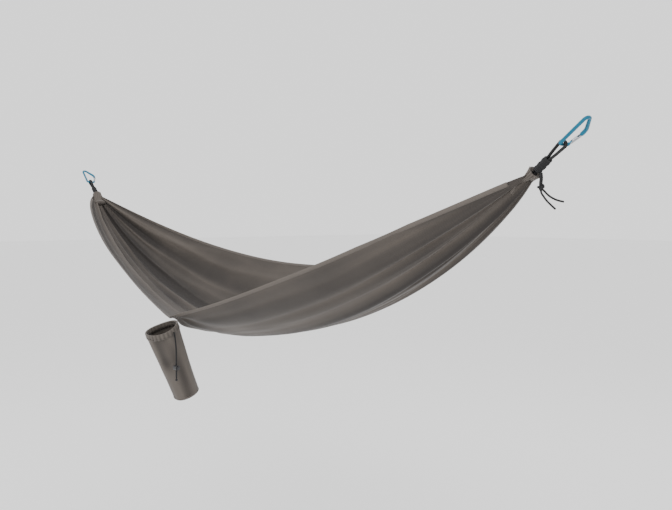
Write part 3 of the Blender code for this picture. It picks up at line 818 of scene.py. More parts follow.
@dataclass(frozen=True)
class Bed:
    """The gathered sheet: t runs from left gather to right, w from the near edge to the far."""

    sag: float = 0.518
    belly_shift: float = 0.045
    near_out: float = 0.297
    near_sag: float = 0.447
    far_out: float = 0.280
    far_sag: float = 0.290
    sack_x: float = 0.030
    cut: tuple = (0.70, 2.80)
    first: float = 0.0055
    rows: int = 360
    columns: int = 104
    hem_width: float = 0.012
    hem_thickness: float = 0.0022
    hem_sides: int = 14
    hem_rings: int = 520
    hem_probe: float = 0.02  # step in w that finds the way in from an edge
    stitch_step: float = 0.0052
    stitch_run: float = 2.6
    stitch: tuple = (0.0036, 0.00045)
    hem_start: float = 0.019
    wall: float = 0.0006
    straight_share: float = 0.677  # the near edge hangs partly as a straight line to its middle
    round_share: float = 0.323
    near_power: float = 0.609
    far_power: float = 0.945
    belly_power: float = 0.875
    # each family of creases: how many, height, fade along and phase
    creases: tuple = ((17, 0.0050, 0.30, 0.7), (8, 0.0105, 0.70, 1.9), (4, 0.0100, 1.60, 0.4))
    star: tuple = (7, 0.0045, 0.16, 0.03)  # at the sack's tape: rays, height, fade, bare middle
    half_cloth: float = 0.34
    end_inset: float = 0.0205

    def smooth(self, t: np.ndarray, w: np.ndarray) -> np.ndarray:
        """The middle surface without creases.

        Each cross-section is the parabola through the near edge, the middle thread and the far
        edge; a is the distance from the nearer gather as a share of half the span, rounded at the
        middle, and b = 1 - (2t - 1)^2. The near edge follows a mix of a and b and the others b,
        with a power where a line is fuller or flatter than that.

        Args:
            t: shares of the length, any shape.
            w: places across from -1 to 1, of the same shape.

        Returns:
            Points, with x, y and z on the last axis.
        """
        a = 1 - np.abs(2 * t - 1)
        a = a - 0.004 * np.exp(-((2 * t - 1) / 0.02) ** 2)
        b = 1 - (2 * t - 1) ** 2
        g = self.straight_share * a + self.round_share * b
        near = np.stack([0 * t, -self.near_out * g**self.near_power, -self.near_sag * g], -1)
        far = np.stack([0 * t, self.far_out * b**self.far_power, -self.far_sag * b], -1)
        middle = np.stack([0 * t, self.belly_shift * b, -self.sag * b**self.belly_power], -1)
        w = w[..., None]
        point = middle + w * (far - near) / 2 + w * w * ((far + near) / 2 - middle)
        point[..., 0] += t * LINE.gather_span
        return point + LINE.gather

    def fold(self, t: np.ndarray, w: np.ndarray) -> np.ndarray:
        """How far the creases lift the cloth off the smooth surface, in metres.

        Three families of lengthwise creases, each a row of sharp ridges 1 - 2|sin|^0.8 across w,
        drift a little with t and fade with the distance from the nearer gather; short ones
        radiate from the sack.

        Args:
            t: shares of the length.
            w: places across.

        Returns:
            Heights of the same shape.
        """
        d = np.minimum(t, 1 - t) * LINE.gather_span
        left = 0.5 * (1 - np.tanh((t - 0.5) / 0.14))
        width = 0.60 * (1 - (2 * t - 1) ** 2) + 0.05
        total = np.zeros_like(t)
        for count, height, fade, phase in self.creases:
            drift = (0.22 * np.sin(2.1 * TURN * t + phase)
                     + 0.12 * np.sin(5.3 * TURN * t + 2 * phase))
            drift = drift + phase * (1 + 0.7 * left)
            bent = w + 0.06 * np.sin(3 * w + phase)
            wave = 1 - 2 * np.abs(np.sin(count * math.pi * bent / 2 + drift)) ** 0.8
            uneven = 0.65 + 0.35 * np.sin(2.3 * w * count + 1.7 * phase + 4 * t)
            most = 0.30 * width / count
            total += np.minimum(height, most) * np.exp(-d / fade) * wave * uneven
        run = (t - 0.5) * LINE.gather_span - self.sack_x
        across = (w + 1) * self.half_cloth
        away = np.hypot(run, across)
        bearing = np.arctan2(across, run)
        rays, height, fade, bare = self.star
        total += (height * np.exp(-away / fade) * np.cos(rays * bearing + 0.6)
                  * np.clip(away / bare, 0, 1))
        return total

    def surface(self, t: np.ndarray, w: np.ndarray) -> np.ndarray:
        """The creased surface: the smooth one moved along its normal by the fold height.

        Args:
            t: shares of the length.
            w: places across.

        Returns:
            Points.
        """
        return self.smooth(t, w) + self.fold(t, w)[..., None] * self.normal(t, w)

    def normal(self, t: np.ndarray, w: np.ndarray) -> np.ndarray:
        """Unit normals of the smooth surface, pointing up into the trough.

        Args:
            t: shares of the length.
            w: places across.

        Returns:
            Vectors.
        """
        step = 1e-4
        along = self.smooth(np.clip(t + step, 0, 1), w) - self.smooth(np.clip(t - step, 0, 1), w)
        across = self.smooth(t, w + step) - self.smooth(t, w - step)
        return unit(np.cross(along, across))

    def panel(self) -> Piece:
        """The sheet, with its distance along and across and its fold depth for the finish, which
        paints light onto crease ridges and shade into crease valleys and into a band near the left
        gather.

        Returns:
            The piece.
        """
        ease = np.linspace(0, 1, self.rows)
        rounded = (1 - np.cos(math.pi * ease)) / 2
        t = self.first + (1 - 2 * self.first) * (0.75 * ease + 0.25 * rounded)
        t, w = np.meshgrid(t, np.linspace(-1, 1, self.columns), indexing="ij")
        points = self.surface(t, w)
        height = self.fold(t, w)
        # painted shade: a dark band down the trough near the left gather
        painted_valley_shade = np.exp(-((w - 0.12) / 0.22) ** 2 - ((t - 0.16) / 0.20) ** 2)
        # painted light and shade: lighter on crease ridges, darker in their valleys and in that
        # band
        depth = np.clip(0.56 + height / 0.020 - 0.80 * painted_valley_shade, 0, 1)
        faces = grid_faces(self.rows, self.columns)[:, ::-1].tolist()
        marks = {"run": t * self.cut[1], "span": w * self.cut[0] / 2, "fold": depth}
        piece = make_mesh("bed_sheet", points.reshape(-1, 3), faces, marks)
        return thicken(piece, self.wall)

    def hem(self, name: str, side: int) -> Piece:
        """A rolled hem: a flattened oval carried along an edge, lying in the cloth's own plane.

        Args:
            name: the piece's name.
            side: -1 for the near edge, 1 for the far one.

        Returns:
            The piece.
        """
        t = np.linspace(self.hem_start, 1 - self.hem_start, self.hem_rings)
        w = np.full_like(t, float(side))
        edge = self.surface(t, w)
        inward = unit(self.surface(t, w - side * self.hem_probe) - edge)
        out = self.normal(t, w)
        sides = self.hem_sides
        angle = whole_turn(sides)
        flat = np.sign(np.cos(angle)) * np.abs(np.cos(angle)) ** 0.7
        pucker = 1 + 0.10 * np.sin(t[:, None] * 2.6 / 0.011)
        wide = self.hem_width / 2 * (0.82 - flat)
        thick = self.hem_thickness / 2 * np.sin(angle)[None, :] * pucker
        rings = (edge[:, None] + inward[:, None] * wide[None, :, None]
                 + out[:, None] * thick[..., None])
        faces = grid_faces(len(t), sides, wrap_columns=True).tolist()
        faces += [tuple(range(sides - 1, -1, -1)),
                  tuple((len(t) - 1) * sides + k for k in range(sides))]
        # fold: painted highlight along the hem's outer rim, painted shade on its inner side
        marks = {"run": np.repeat(t * 2.7, sides),
                 "span": np.tile(np.cos(angle) * (self.hem_width / 2), len(t)),
                 "fold": np.tile(0.72 + 0.2 * np.cos(angle), len(t))}
        return outward(make_mesh(name, rings.reshape(-1, 3), faces, marks))

    def hem_stitching(self, name: str, side: int) -> Piece:
        """The row of stitches that holds a hem, on its upper face and under it.

        Args:
            name: the piece's name.
            side: -1 for the near edge, 1 for the far one.

        Returns:
            The piece.
        """
        count = round(self.stitch_run / self.stitch_step)
        inset = 0.004
        t = np.linspace(self.hem_start + inset, 1 - self.hem_start - inset, count)
        w = np.full_like(t, float(side))
        edge = self.surface(t, w)
        inward = unit(self.surface(t, w - side * self.hem_probe) - edge)
        along = unit(np.gradient(edge, axis=0))
        out = self.normal(t, w)
        row = edge + inward * self.hem_width * 0.68
        lift = self.hem_thickness / 2 * 0.92
        centres = np.vstack([row + out * lift, row - out * lift])
        return stitches(name, centres, np.vstack([along, along]), np.vstack([out, out]),
                        self.stitch)

    def gathered_end(self, name: str, end: End) -> Piece:
        """The sewn, gathered end: an oval of pleats that is dished where the cords come out.

        Rings run from the middle of the blunt face out over its rim and along to the trough; the
        radius at angle a is the oval's, times one plus pleats of 15 and 9 to the turn that are
        deepest at the face.

        Args:
            name: the piece's name.
            end: which end.

        Returns:
            The piece.
        """
        origin, up, across, out = LINE.axes(end)
        gather = origin - LINE.reach * up
        sides, rings = 96, 30
        face_wide, face_tall = 0.0195, 0.0175
        mouth_share, mouth_tall = 0.72, 0.012
        pleat_depth, pleat_count, fine_count = 0.07, 15, 9
        t = self.end_inset if end is End.LEFT else 1 - self.end_inset
        line = self.smooth(np.full(17, t), np.linspace(-1, 1, 17))
        mouth = line.mean(0)
        wide = mouth_share * (line[-1, 1] - line[0, 1]) / 2
        angle = whole_turn(sides)
        share = np.concatenate([[0, 0, 0, 0], np.linspace(0, 1, rings)])
        shrink = np.concatenate([[0.25, 0.5, 0.75, 0.93], np.ones(rings)])
        dish = np.concatenate([[0.007, 0.005, 0.002, 0.0], np.zeros(rings)])
        ease = (share * share * (3 - 2 * share))[:, None, None]
        circle = np.stack([np.cos(angle), np.sin(angle)], -1)
        sign = -end.value
        blunt = (gather + face_wide * circle[:, :1] * across
                 + sign * face_tall * circle[:, 1:] * out)
        wide_end = mouth + circle[:, :1] * wide * across + circle[:,
                                                                  1:] * np.array([0, 0,
                                                                                  mouth_tall])
        centre = gather + (mouth - gather) * share[:, None]
        ring = blunt * (1 - ease) + wide_end * ease
        arms = ring - centre[:, None]
        deep = (pleat_depth * (1 - 0.7 * share))[:, None]
        pleat = np.sin(pleat_count * angle + 3 * share[:, None])
        pleats = 1 + deep * pleat + 0.5 * deep * np.sin(fine_count * angle + 1.3)
        points = (centre[:, None] + arms * (shrink[:, None] * pleats)[..., None]
                  - (dish[:, None] * up)[:, None])
        verts = np.vstack([points.reshape(-1, 3), centre[0] - 0.008 * up, centre[-1]])
        rows = len(share)
        # painted light and shade: lighter on the pleats' ridges, darker in their valleys, full
        # shade at the two closing points
        tone = np.concatenate([np.clip(0.55 + 0.20 * pleat, 0, 1).ravel(), [0.0, 0.0]])
        run = np.concatenate([np.repeat(share * 0.06, sides), [0, 0.06]])
        span = np.concatenate([np.tile(angle * 0.03, rows), [0, 0]])
        marks = {"run": run, "span": span, "fold": tone}
        return outward(make_mesh(name, verts, tipped_faces(rows, sides), marks))

    def build(self, wardrobe: Wardrobe) -> Piece:
        """Makes and dresses the bed's pieces.

        Args:
            wardrobe: the finishes.

        Returns:
            The sheet.
        """
        sheet = self.panel()
        wardrobe.dress(sheet, "bed_fabric", "bed", replaces=("bed_fabric",))
        pieces = []
        for word, side in (("near", -1), ("far", 1)):
            hem = self.hem(f"{word}_rolled_hem", side)
            wardrobe.dress(hem, "hem_fabric", "bed", replaces=(f"{word}_edge_hem",))
            seam = self.hem_stitching(f"{word}_hem_stitching", side)
            wardrobe.dress(seam, "thread", "bed")
            pieces += [hem, seam]
        for end in End:
            gathered = self.gathered_end(f"{end.word}_gathered_end", end)
            wardrobe.dress(gathered, "hem_fabric", "bed", replaces=(f"{end.word}_end_channel",))
            pieces.append(gathered)
        return sheet


# ---------- suspension ----------

TAIL_STEPS = {  # each loose end's places, from the knot's centre
    "a": ((0.0060, 0.0060, -0.0095), (0.0090, 0.0105, -0.0150), (0.0140, 0.0170, -0.0220),
          (0.0220, 0.0270, -0.0290), (0.0290, 0.0350, -0.0325), (0.0350, 0.0425, -0.0345)),
    "b": ((0.0020, -0.0010, -0.0120), (0.0060, 0.0030, -0.0220), (0.0110, 0.0100, -0.0330),
          (0.0170, 0.0185, -0.0430), (0.0225, 0.0270, -0.0520)),
}


@dataclass(frozen=True)
class Suspension:
    """One end's cord loops, lashing, knot and loose ends."""

    end: End
    cord_radius: float = 0.0025
    strand_offset: float = 0.0029
    bight_radius: float = 0.0088
    lashing_length: float = 0.046
    lashing_wall: float = 0.0024
    knot_radius: float = 0.0095
    knot_drop: float = 0.044
    knot_scale: float = 0.0023
    knot_cord: float = 0.0027
    lashing_cord: float = 0.0021
    lashing_start: float = 0.003
    loop_step: float = 0.0008
    tail_step: float = 0.0009
    sides: int = 28
    sheath: tuple = (4, 0.014)  # the braid's strands and pitch
    gap: float = 0.0003

    def loop_route(self, across: int) -> np.ndarray:
        """One loop out of the fabric, round the carabiner's bar and back, in the end's axes.

        Args:
            across: -1 or 1, the side of the load line it lies on.

        Returns:
            Route points.
        """
        seat, base = -LINE.load_length, -LINE.reach + 2 * self.gap - 0.006
        reach, bundle = LINE.cord_reach, self.strand_offset
        up = [(base, -bundle), (base + 0.3 * reach, -bundle),
              (base + 0.5 * reach, -bundle - 0.0004),
              (base + 0.75 * reach, -0.7 * self.bight_radius)]
        turn = [(seat + self.bight_radius * math.sin(a), -self.bight_radius * math.cos(a))
                for a in np.linspace(-0.15, math.pi + 0.15, 13)]
        down = [(u, -w) for u, w in reversed(up)]
        return np.array([(u, self.strand_offset * across, w) for u, w in (*up, *turn, *down)])

    def places(self) -> tuple:
        """Where the knot's cords leave the lashing and where the knot hangs.

        Returns:
            (exit point, knot's centre).
        """
        outer = (self.strand_offset * math.sqrt(2) + self.cord_radius + 3 * self.gap
                 + self.lashing_wall)
        start = -LINE.reach + self.lashing_start
        under = (outer + self.gap) / math.cos(LINE.angle) + 0.002
        exit_point = LINE.world(self.end, [[start + 0.017, 0, 0]])[0] - np.array([0, 0, under])
        return exit_point, exit_point + np.array([0, 0, outer - self.knot_drop])

    def tails(self, letter: str) -> np.ndarray:
        """The route of a loose end from the knot's centre.

        Args:
            letter: a or b.

        Returns:
            Route points in the row frame.
        """
        knot = self.places()[1]
        return knot + np.array(TAIL_STEPS[letter]) * np.array([self.end.value, 1, 1])

    def free_route(self, letter: str) -> np.ndarray:
        """A free cord's whole route: down from the lashing, through the knot and out to its end.

        Args:
            letter: a or b.

        Returns:
            Evenly spaced points.
        """
        across = -1 if letter == "a" else 1
        exit_point, knot = self.places()
        step = np.array([0, across * self.strand_offset, 0])
        top = exit_point + step
        bottom = knot + step + np.array([0, 0, self.knot_radius + self.gap])
        bend = (top + bottom) / 2 + np.array([self.end.value * 0.001, 0, 0])
        return smooth_route(np.vstack([top, bend, bottom, knot + 0.4 * step, self.tails(letter)]),
                            self.tail_step)

    def knot_shape(self, name: str) -> Piece:
        """The knot: a closed cord wound as a trefoil, turned to show its crossings.

        Its line is x = sin u + 2 sin 2u, y = cos u - 2 cos 2u, z = -1.15 sin 3u, scaled.

        Args:
            name: the piece's name.

        Returns:
            The piece.
        """
        rows, sides = 260, 24
        u = np.linspace(0, TURN, rows, endpoint=False)
        line = np.stack([np.sin(u) + 2 * np.sin(2 * u), np.cos(u) - 2 * np.cos(2 * u),
                         -1.15 * np.sin(3 * u)], -1)
        line = line * self.knot_scale
        turned = np.array(Matrix.Rotation(0.9, 3, "X") @ Matrix.Rotation(0.4, 3, "Z"))
        line = line @ turned.T + self.places()[1]
        ahead = unit(np.roll(line, -1, 0) - np.roll(line, 1, 0))
        out = unit(line - self.places()[1] + 1e-6)
        side = unit(np.cross(ahead, out))
        up = np.cross(side, ahead)
        angle = whole_turn(sides)
        run = u * self.knot_scale * 3.4
        size = self.knot_cord * (1 + braid(4, 0.012)(angle[None, :], run[:, None]))
        around = spokes(angle[None, :], side[:, None], up[:, None])
        rings = line[:, None] + size[..., None] * around
        faces = grid_faces(rows, sides, wrap_rows=True, wrap_columns=True).tolist()
        return outward(make_mesh(name, rings.reshape(-1, 3), faces))

    def lashing(self, name: str) -> Piece:
        """The whipping round the four strands: a helix of thinner cord, starting at the fabric.

        Args:
            name: the piece's name.

        Returns:
            The piece.
        """
        inner = self.strand_offset * math.sqrt(2) + self.cord_radius + 2 * self.gap
        thin = self.lashing_cord
        turns = round(self.lashing_length / (2 * thin * 0.94))
        u = np.linspace(0, 1, turns * 30)
        radius = inner + 0.75 * thin + 0.0006 * np.sin(3 * TURN * u)
        angle = TURN * turns * u
        start = -LINE.reach + self.lashing_start + thin
        line = np.stack([start + u * (self.lashing_length - 2 * thin), radius * np.cos(angle),
                         radius * np.sin(angle)], -1)
        path = LINE.world(self.end, line)
        return tube(name, path, thin, LINE.axes(self.end)[1], 14, braid(3, 0.010, 0.07))

    def build(self, wardrobe: Wardrobe) -> None:
        """Makes and dresses this end's cords.

        Args:
            wardrobe: the finishes.
        """
        word = self.end.word
        across = LINE.axes(self.end)[2]
        for side, letter in ((-1, "a"), (1, "b")):
            path = LINE.world(self.end, smooth_route(self.loop_route(side), self.loop_step))
            rope = tube(f"{word}_cord_loop_{letter}_rope", path, self.cord_radius, across,
                        self.sides, braid(*self.sheath))
            wardrobe.dress(rope, "black_cord", "bed", replaces=(f"{word}_cord_loop_{letter}",))
        wrap = self.lashing(f"{word}_lashing_turns")
        wardrobe.dress(wrap, "black_cord", "bed", replaces=(f"{word}_cord_lashing",))
        knot = self.knot_shape(f"{word}_tied_knot")
        wardrobe.dress(knot, "black_cord", "bed", replaces=(f"{word}_knot",))
        level = np.array([1.0, -0.8, 0.35]) * np.array([self.end.value, 1, 1])
        for letter in ("a", "b"):
            path = self.free_route(letter)
            tail = tube(f"{word}_loose_end_{letter}", path, self.cord_radius, level,
                        self.sides, braid(*self.sheath))
            wardrobe.dress(tail, "black_cord", "bed",
                           replaces=(f"{word}_knot_leg_{letter}", f"{word}_cord_tail_{letter}"))


# ---------- carabiners ----------

@dataclass(frozen=True)
class Carabiner:
    """One carabiner: a smooth bent bar over the CAD body, and its gate's pieces."""

    end: End
    corners: tuple = ((-0.0460, 0.0350, 0.0), (-0.0300, 0.0350, 0.022), (0.0222, -0.0100, 0.010),
                      (-0.0830, -0.0100, 0.007), (-0.0830, 0.0226, 0.007))
    bar_radius: float = 0.0042
    nose_radius: float = 0.0050
    cover: float = 0.00012  # added to the radius, so that the bar covers the CAD body
    cord_seat: float = 0.0039
    gate_pivot: tuple = (-0.0725, 0.0266)
    gate_angle: float = math.radians(20.0)
    gate_radius: float = 0.0040
    hinge_room: float = 0.0012

    def outline(self, step: float = 0.0009) -> np.ndarray:
        """The bar's centreline in the outline's plane: straight runs joined by arcs.

        Args:
            step: distance between points.

        Returns:
            n by 2 points from the nose round to the hinge end.
        """
        pivot = np.array(self.gate_pivot)
        gate = np.array([math.cos(self.gate_angle), math.sin(self.gate_angle)])
        last = pivot - gate * (self.gate_radius + self.hinge_room)
        corners = [*self.corners, (last[0], last[1], 0.0)]
        spots = np.array([c[:2] for c in corners])
        points = [spots[:1]]
        for before, corner, after, (_, _, radius) in zip(spots, spots[1:], spots[2:], corners[1:]):
            inward, onward = unit(before - corner), unit(after - corner)
            half = math.acos(float(inward @ onward)) / 2
            centre = corner + unit(inward + onward) * radius / math.sin(half)
            start = corner + inward * radius / math.tan(half) - centre
            end = corner + onward * radius / math.tan(half) - centre
            first = math.atan2(start[1], start[0])
            sweep = math.atan2(start[0] * end[1] - start[1] * end[0], float(start @ end))
            a = first + sweep * np.linspace(0, 1, max(6, math.ceil(abs(sweep) * radius / step)))
            points.append(centre + radius * np.stack([np.cos(a), np.sin(a)], -1))
        points.append(spots[-1:])
        line = np.vstack(points)
        along = run_of(line)
        stops = np.linspace(0, along[-1], round(along[-1] / step))
        return np.stack([np.interp(stops, along, line[:, k]) for k in range(2)], -1)

    def to_row(self, points: np.ndarray) -> np.ndarray:
        """Outline points hung on the load line, in the row frame.

        Args:
            points: n by 2 or n by 3 in the outline's plane.

        Returns:
            n by 3.
        """
        line = self.outline(0.0005)
        top = line[line[:, 0].argmax()]
        bearing = np.array([top[0] - self.bar_radius, top[1]])
        load = bearing - np.array([self.corners[3][0], self.cord_seat])
        turn = -math.atan2(load[1], load[0])
        flat = points[:, :2] - bearing
        cos, sin = math.cos(turn), math.sin(turn)
        depth = points[:, 2] if points.shape[1] == 3 else np.zeros(len(points))
        turned = np.stack([cos * flat[:, 0] - sin * flat[:, 1],
                           sin * flat[:, 0] + cos * flat[:, 1], depth], -1)
        return LINE.world(self.end, turned)

    def bar(self, name: str) -> Piece:
        """The bent bar, a little flattened along its spine and thicker down the nose's arm.

        Args:
            name: the piece's name.

        Returns:
            The piece.
        """
        line = self.outline()
        share = np.clip((line[:, 1] - 0.008) / 0.02, 0, 1) * (line[:, 0] > -0.06)
        share = np.convolve(np.pad(share, 8, mode="edge"), np.ones(17) / 17, "valid")
        radius = self.bar_radius + self.cover + share * (self.nose_radius - self.bar_radius)
        # both ends are broken, so that no sharp rim is left
        radius[:4] *= np.array([0.80, 0.92, 0.97, 1.0])
        radius[-3:] *= np.array([0.98, 0.94, 0.84])

        def flats(angle: np.ndarray, run: np.ndarray) -> np.ndarray:
            """Soft flats: a little less radius at four places round the bar."""
            return -0.035 * np.cos(4 * angle) ** 2 + 0 * run
        return tube(name, self.to_row(line), radius, LINE.axes(self.end)[3], 36, flats)

    def build(self, wardrobe: Wardrobe) -> None:
        """Makes and dresses the carabiner's pieces.

        Args:
            wardrobe: the finishes.
        """
        word = self.end.word
        node = frame["nodes"][f"{word}_carabiner_body"]
        node.data.materials.clear()
        node.data.materials.append(wardrobe.materials["anodised_blue"])
        wardrobe.dress(self.bar(f"{word}_carabiner_bar"), "anodised_blue", f"{word}_carabiner")
        small = ((f"{word}_carabiner_gate", "gate_silver", f"{word}_gate", 0.00035),
                 (f"{word}_gate_rivet", "spring_steel", f"{word}_carabiner", 0.0003),
                 (f"{word}_latch_pin", "spring_steel", f"{word}_gate", 0.0001),
                 (f"{word}_gate_plunger", "spring_steel", f"{word}_gate", 0.0001),
                 (f"{word}_gate_spring", "spring_steel", f"{word}_gate", 0.0))
        for name, key, body, bevel in small:
            wardrobe.dress(polish(name, bevel), key, body, replaces=(name,))


# ---------- stuff sack ----------

SACK_JOINT = next(joint for joint in frame["joints"] if joint["name"] == "sack_swing")
PIVOT_YZ = tuple(Vector(SACK_JOINT["pos_m"])[1:])


@dataclass(frozen=True)
class StuffSack:
    """The sack that hangs by its mouth from the near hem, with its drawcord and cord lock."""

    bed: Bed
    length: float = 0.262
    mouth_radius: float = 0.056
    base_radius: float = 0.043
    lean: float = math.radians(22.0)
    hem_height: float = 0.020
    cord_radius: float = 0.00125
    eyelet_turn: float = math.radians(-10.0)
    strand_turn: float = math.radians(99.0)
    lock_drop: float = 0.115
    tail_drop: float = 0.040
    lock_radius: float = 0.0080
    gap: float = 0.0003
    wall: float = 0.0007
    hem_half: float = 0.0024  # half the hem's thickness
    wall_sides: int = 120
    hem_sides: int = 160
    base_sides: int = 96
    stitch_step: float = 0.0048
    stitch: tuple = (0.0034, 0.00042)
    button_travel: float = 0.0034
    cord_step: float = 0.0008
    cord_sides: int = 20
    sheath: tuple = (3, 0.007)  # the drawcord braid's strands and pitch

    def axes(self) -> tuple:
        """The pivot, the mouth's centre, and unit vectors across, outwards and up the sack.

        Returns:
            (pivot, mouth, across, out, up).
        """
        t = np.array([0.5 + self.bed.sack_x / LINE.gather_span])
        edge = self.bed.smooth(t, np.array([-1.0]))[0]
        pivot = np.array([edge[0], *PIVOT_YZ])
        down = unit(np.array([-0.030, math.sin(self.lean), -math.cos(self.lean)]))
        out = np.array([0.0, -1.0, 0.0])
        out = unit(out - out @ down * down)
        across = np.cross(out, down)
        mouth = pivot + out * (self.mouth_radius + 0.0045) + across * 0.020 + down * 0.0025
        return pivot, mouth, across, out, -down

    def radius(self, s: np.ndarray) -> np.ndarray:
        """The sack's radius at a share of its length from the mouth."""
        cone = self.mouth_radius + (self.base_radius - self.mouth_radius) * s
        return cone - 0.002 * np.sin(math.pi * s)

    def cloth(self, name: str, low: float, high: float, rows: int, swell: float) -> Piece:
        """A stretch of the sack's wall: a cone with lengthwise slack folds and pressed-in dents.

        The radius at angle a and share s is the cone's, times one plus soft waves of 3, 5 and 8 to
        the turn that twist with s, less two bell-shaped dents.

        Args:
            name: the piece's name.
            low: share of the length where it starts.
            high: share where it ends.
            rows: rings along it.
            swell: radius added.

        Returns:
            The piece.
        """
        _, mouth, across, out, up = self.axes()
        s = np.linspace(low, high, rows)[:, None]
        a = whole_turn(self.wall_sides)[None, :]
        slack = np.sin(math.pi * np.clip(s, 0.0, 1.0)) ** 0.7
        waves = (0.030 * np.sin(3 * a + 2.2 + 2.5 * s) + 0.020 * np.sin(5 * a + 0.4 - 4.0 * s)
                 + 0.012 * np.sin(8 * a + 1.1 + 5.0 * s) * (1 - s))
        dents = -0.045 * np.exp(-((s - 0.42) / 0.10) ** 2 - ((np.sin((a - 1.1) / 2)) / 0.30) ** 2)
        dents = dents - 0.030 * np.exp(-((s - 0.68) / 0.09) ** 2
                                       - ((np.sin((a - 2.4) / 2)) / 0.25) ** 2)
        radius = (self.radius(s) + swell) * (1 + (waves + dents) * (0.35 + 0.65 * slack))
        centre = mouth - up * self.length * s[..., None]
        points = centre + radius[..., None] * spokes(a, across, out)
        # painted shade: darker in the dents and the troughs of the slack folds, lighter on their
        # crests
        fold = np.clip(0.62 + 9.0 * (waves + dents), 0, 1) + 0 * s
        marks = {"run": np.broadcast_to(s * self.length, fold.shape),
                 "span": np.broadcast_to(a * 0.05, fold.shape), "fold": fold}
        faces = grid_faces(rows, self.wall_sides, wrap_columns=True)[:, ::-1].tolist()
        return thicken(make_mesh(name, points.reshape(-1, 3), faces, marks), self.wall)

    def hem_band(self, name: str) -> Piece:
        """The mouth's hem: a band whose section is a tall rounded U turned over the drawcord.

        Args:
            name: the piece's name.

        Returns:
            The piece.
        """
        _, mouth, across, out, up = self.axes()
        a = whole_turn(self.hem_sides)[:, None]
        half = self.hem_half
        bend = np.linspace(0, math.pi, 9)
        depth = np.concatenate([[self.hem_height, self.hem_height * 0.5],
                                half * (1 - np.sin(bend)),
                                [self.hem_height * 0.5, self.hem_height]])[None, :]
        side = np.concatenate([[0, 0], half * (np.cos(bend) - 1), [-2 * half, -2 * half]])[None, :]
        pucker = 0.0011 * np.sin(26 * a) * (depth / self.hem_height) + 0.0016 * np.sin(3 * a + 0.8)
        radius = self.mouth_radius + side + pucker
        lift = 0.0016 * np.sin(2 * a + 0.5)
        points = (mouth - up * (depth + lift)[..., None]
                  + radius[..., None] * spokes(a, across, out))
        columns = depth.shape[1]
        # painted light and shade that follows the puckers
        fold = 0.62 + 0.25 * np.sin(26 * a) + 0 * depth
        marks = {"run": np.broadcast_to(a * self.mouth_radius, fold.shape),
                 "span": np.broadcast_to(depth, fold.shape), "fold": fold}
        faces = grid_faces(self.hem_sides, columns, wrap_rows=True).tolist()
        return thicken(make_mesh(name, points.reshape(-1, 3), faces, marks), self.wall)

    def base(self, name: str) -> Piece:
        """The round base panel: a shallow dome whose rim stands out as a seam.

        Args:
            name: the piece's name.

        Returns:
            The piece.
        """
        _, mouth, across, out, up = self.axes()
        share = [0.940, 0.944, 0.950, 0.957, 0.966, 0.977, 0.987, 0.995, 1.0, 1.002]
        share = np.array(share)[:, None]
        size = [1.00, 1.035, 1.03, 1.00, 0.95, 0.86, 0.70, 0.48, 0.22, 0.04]
        size = np.array(size)[:, None] * self.base_radius
        sides = self.base_sides
        a = whole_turn(sides)[None, :]
        size = size * (1 + 0.02 * np.sin(3 * a + 4.6) + 0.012 * np.sin(7 * a))
        points = (mouth - up * (self.length * share)[..., None]
                  + size[..., None] * spokes(a, across, out))
        inner, outer = mouth - up * self.length * 0.93, mouth - up * self.length * 1.0025
        verts = np.vstack([points.reshape(-1, 3), inner, outer])
        rows = len(share)
        # painted shade along the seam's first ring, painted highlight on the bulging rim, an even
        # middle tone over the dome
        fold = np.concatenate([np.repeat([0.3, 0.8, 0.9] + [0.6] * 7, sides), [0.5, 0.5]])
        run = np.concatenate([np.tile(np.cos(a).ravel() * 0.04, rows), [0, 0]])
        span = np.concatenate([np.tile(np.sin(a).ravel() * 0.04, rows), [0, 0]])
        marks = {"run": run, "span": span, "fold": fold}
        return outward(make_mesh(name, verts, tipped_faces(rows, sides), marks))

    def ring_stitching(self, name: str, share: float, lift: float) -> Piece:
        """A row of stitches round the sack.

        Args:
            name: the piece's name.
            share: place along the sack.
            lift: distance out from its plain radius.

        Returns:
            The piece.
        """
        _, mouth, across, out, up = self.axes()
        size = float(self.radius(np.array([share]))[0]) + lift
        a = whole_turn(round(TURN * size / self.stitch_step))
        radial = spokes(a, across, out)
        along = -np.sin(a)[:, None] * across + np.cos(a)[:, None] * out
        centres = mouth - up * self.length * share + size * radial
        return stitches(name, centres, along, radial, self.stitch)

    def drawcord_routes(self) -> tuple:
        """The two free ends of the drawcord, from the eyelet through the lock to the end knot.

        Returns:
            (routes by letter, eyelet, lock's centre, end knot's centre).
        """
        _, mouth, across, out, up = self.axes()
        radial = math.cos(self.eyelet_turn) * across + math.sin(self.eyelet_turn) * out
        start = (mouth - up * (0.6 * self.hem_height)
                 + radial * (self.mouth_radius + self.cord_radius + 2 * self.gap))
        side = np.array([math.cos(self.strand_turn), math.sin(self.strand_turn), 0])
        along = np.array([side[1], -side[0], 0])
        lock = start + along * (0.0045 + self.lock_radius) - np.array([0, 0, self.lock_drop])
        knot = lock - np.array([0, 0, self.tail_drop])
        routes = {}
        for sign, letter in ((-1, "a"), (1, "b")):
            step = side * sign * (self.cord_radius + self.gap)
            rise = [0.5 * self.lock_drop, 0.2 * self.lock_drop, 0.012, 0.0, -0.012]
            points = [start + step, start + step + along * 0.004 - [0, 0, 0.006],
                      start + step + along * 0.009 - [0, 0, 0.030]]
            points += [lock + step + [0, 0, z] for z in rise] + [knot + step + [0, 0, 0.0045]]
            routes[letter] = smooth_route(np.array(points), self.cord_step)
        return routes, start, lock, knot

    def shorten(self, spring: Piece) -> None:
        """Gives the spring its own copy of its mesh.

        Args:
            spring: the spring.
        """
        lock = self.drawcord_routes()[2]
        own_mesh(spring)

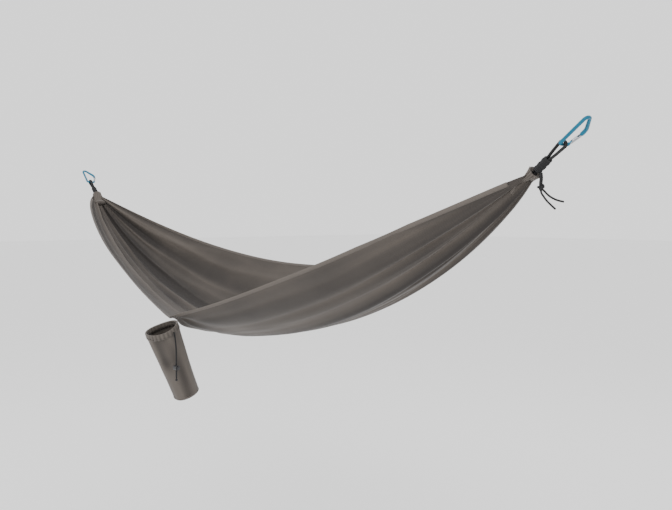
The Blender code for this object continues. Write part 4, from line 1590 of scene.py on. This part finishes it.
    def build(self, wardrobe: Wardrobe) -> None:
        """Args:
            wardrobe: the finishes.
        """
        body = self.cloth("sack_wall", 0.055, 0.945, 70, 0.0)
        wardrobe.dress(body, "sack_fabric", "stuff_sack", replaces=("stuff_sack",))
        band = self.hem_band("sack_hem_band")
        wardrobe.dress(band, "sack_fabric", "stuff_sack", replaces=("sack_mouth_hem",))
        base = self.base("sack_base_panel")
        wardrobe.dress(base, "sack_fabric", "stuff_sack", replaces=("sack_base",))
        for name, share, lift in (("mouth_stitching", 0.067, 0.0012),
                                  ("base_stitching", 0.925, 0.0004)):
            wardrobe.dress(self.ring_stitching(name, share, lift), "thread", "stuff_sack")
        wardrobe.dress(polish("sack_tape", 0.0003), "hem_fabric", "bed", replaces=("sack_tape",))
        wardrobe.dress(polish("drawcord_ring", 0.0), "black_cord", "stuff_sack",
                       replaces=("drawcord_ring",))
        for name, key, owner, edge in (("cord_lock_barrel", "black_plastic", "cord_lock", 0.0007),
                                       ("cord_lock_button", "black_plastic", "cord_lock_button",
                                        0.0007),
                                       ("cord_lock_spring", "spring_steel", "cord_lock", 0.0)):
            piece = polish(name, edge)
            wardrobe.dress(piece, key, owner, replaces=(name,))
            if name == "cord_lock_spring":
                self.shorten(piece)
        knot = polish("drawcord_end_knot", 0.0)
        wardrobe.dress(knot, "black_cord", "stuff_sack", replaces=("drawcord_end_knot",))
        for letter, path in self.drawcord_routes()[0].items():
            leg = tube(f"drawcord_end_{letter}", path, self.cord_radius,
                       np.array([0.7, -0.6, 0.0]), self.cord_sides, braid(*self.sheath))
            wardrobe.dress(leg, "black_cord", "stuff_sack", replaces=(f"drawcord_leg_{letter}",))


def main() -> None:
    """Builds the studio, the cords, the bed, the carabiners and the sack."""
    logging.basicConfig(level=logging.INFO, format="%(name)s: %(message)s")
    studio = Studio()
    studio.camera()
    wardrobe = Wardrobe()
    for end in End:
        Suspension(end).build(wardrobe)
    bed = Bed()
    bed.build(wardrobe)
    for end in End:
        Carabiner(end).build(wardrobe)
    StuffSack(bed).build(wardrobe)
    studio.build()


if __name__ == "__main__":
    main()
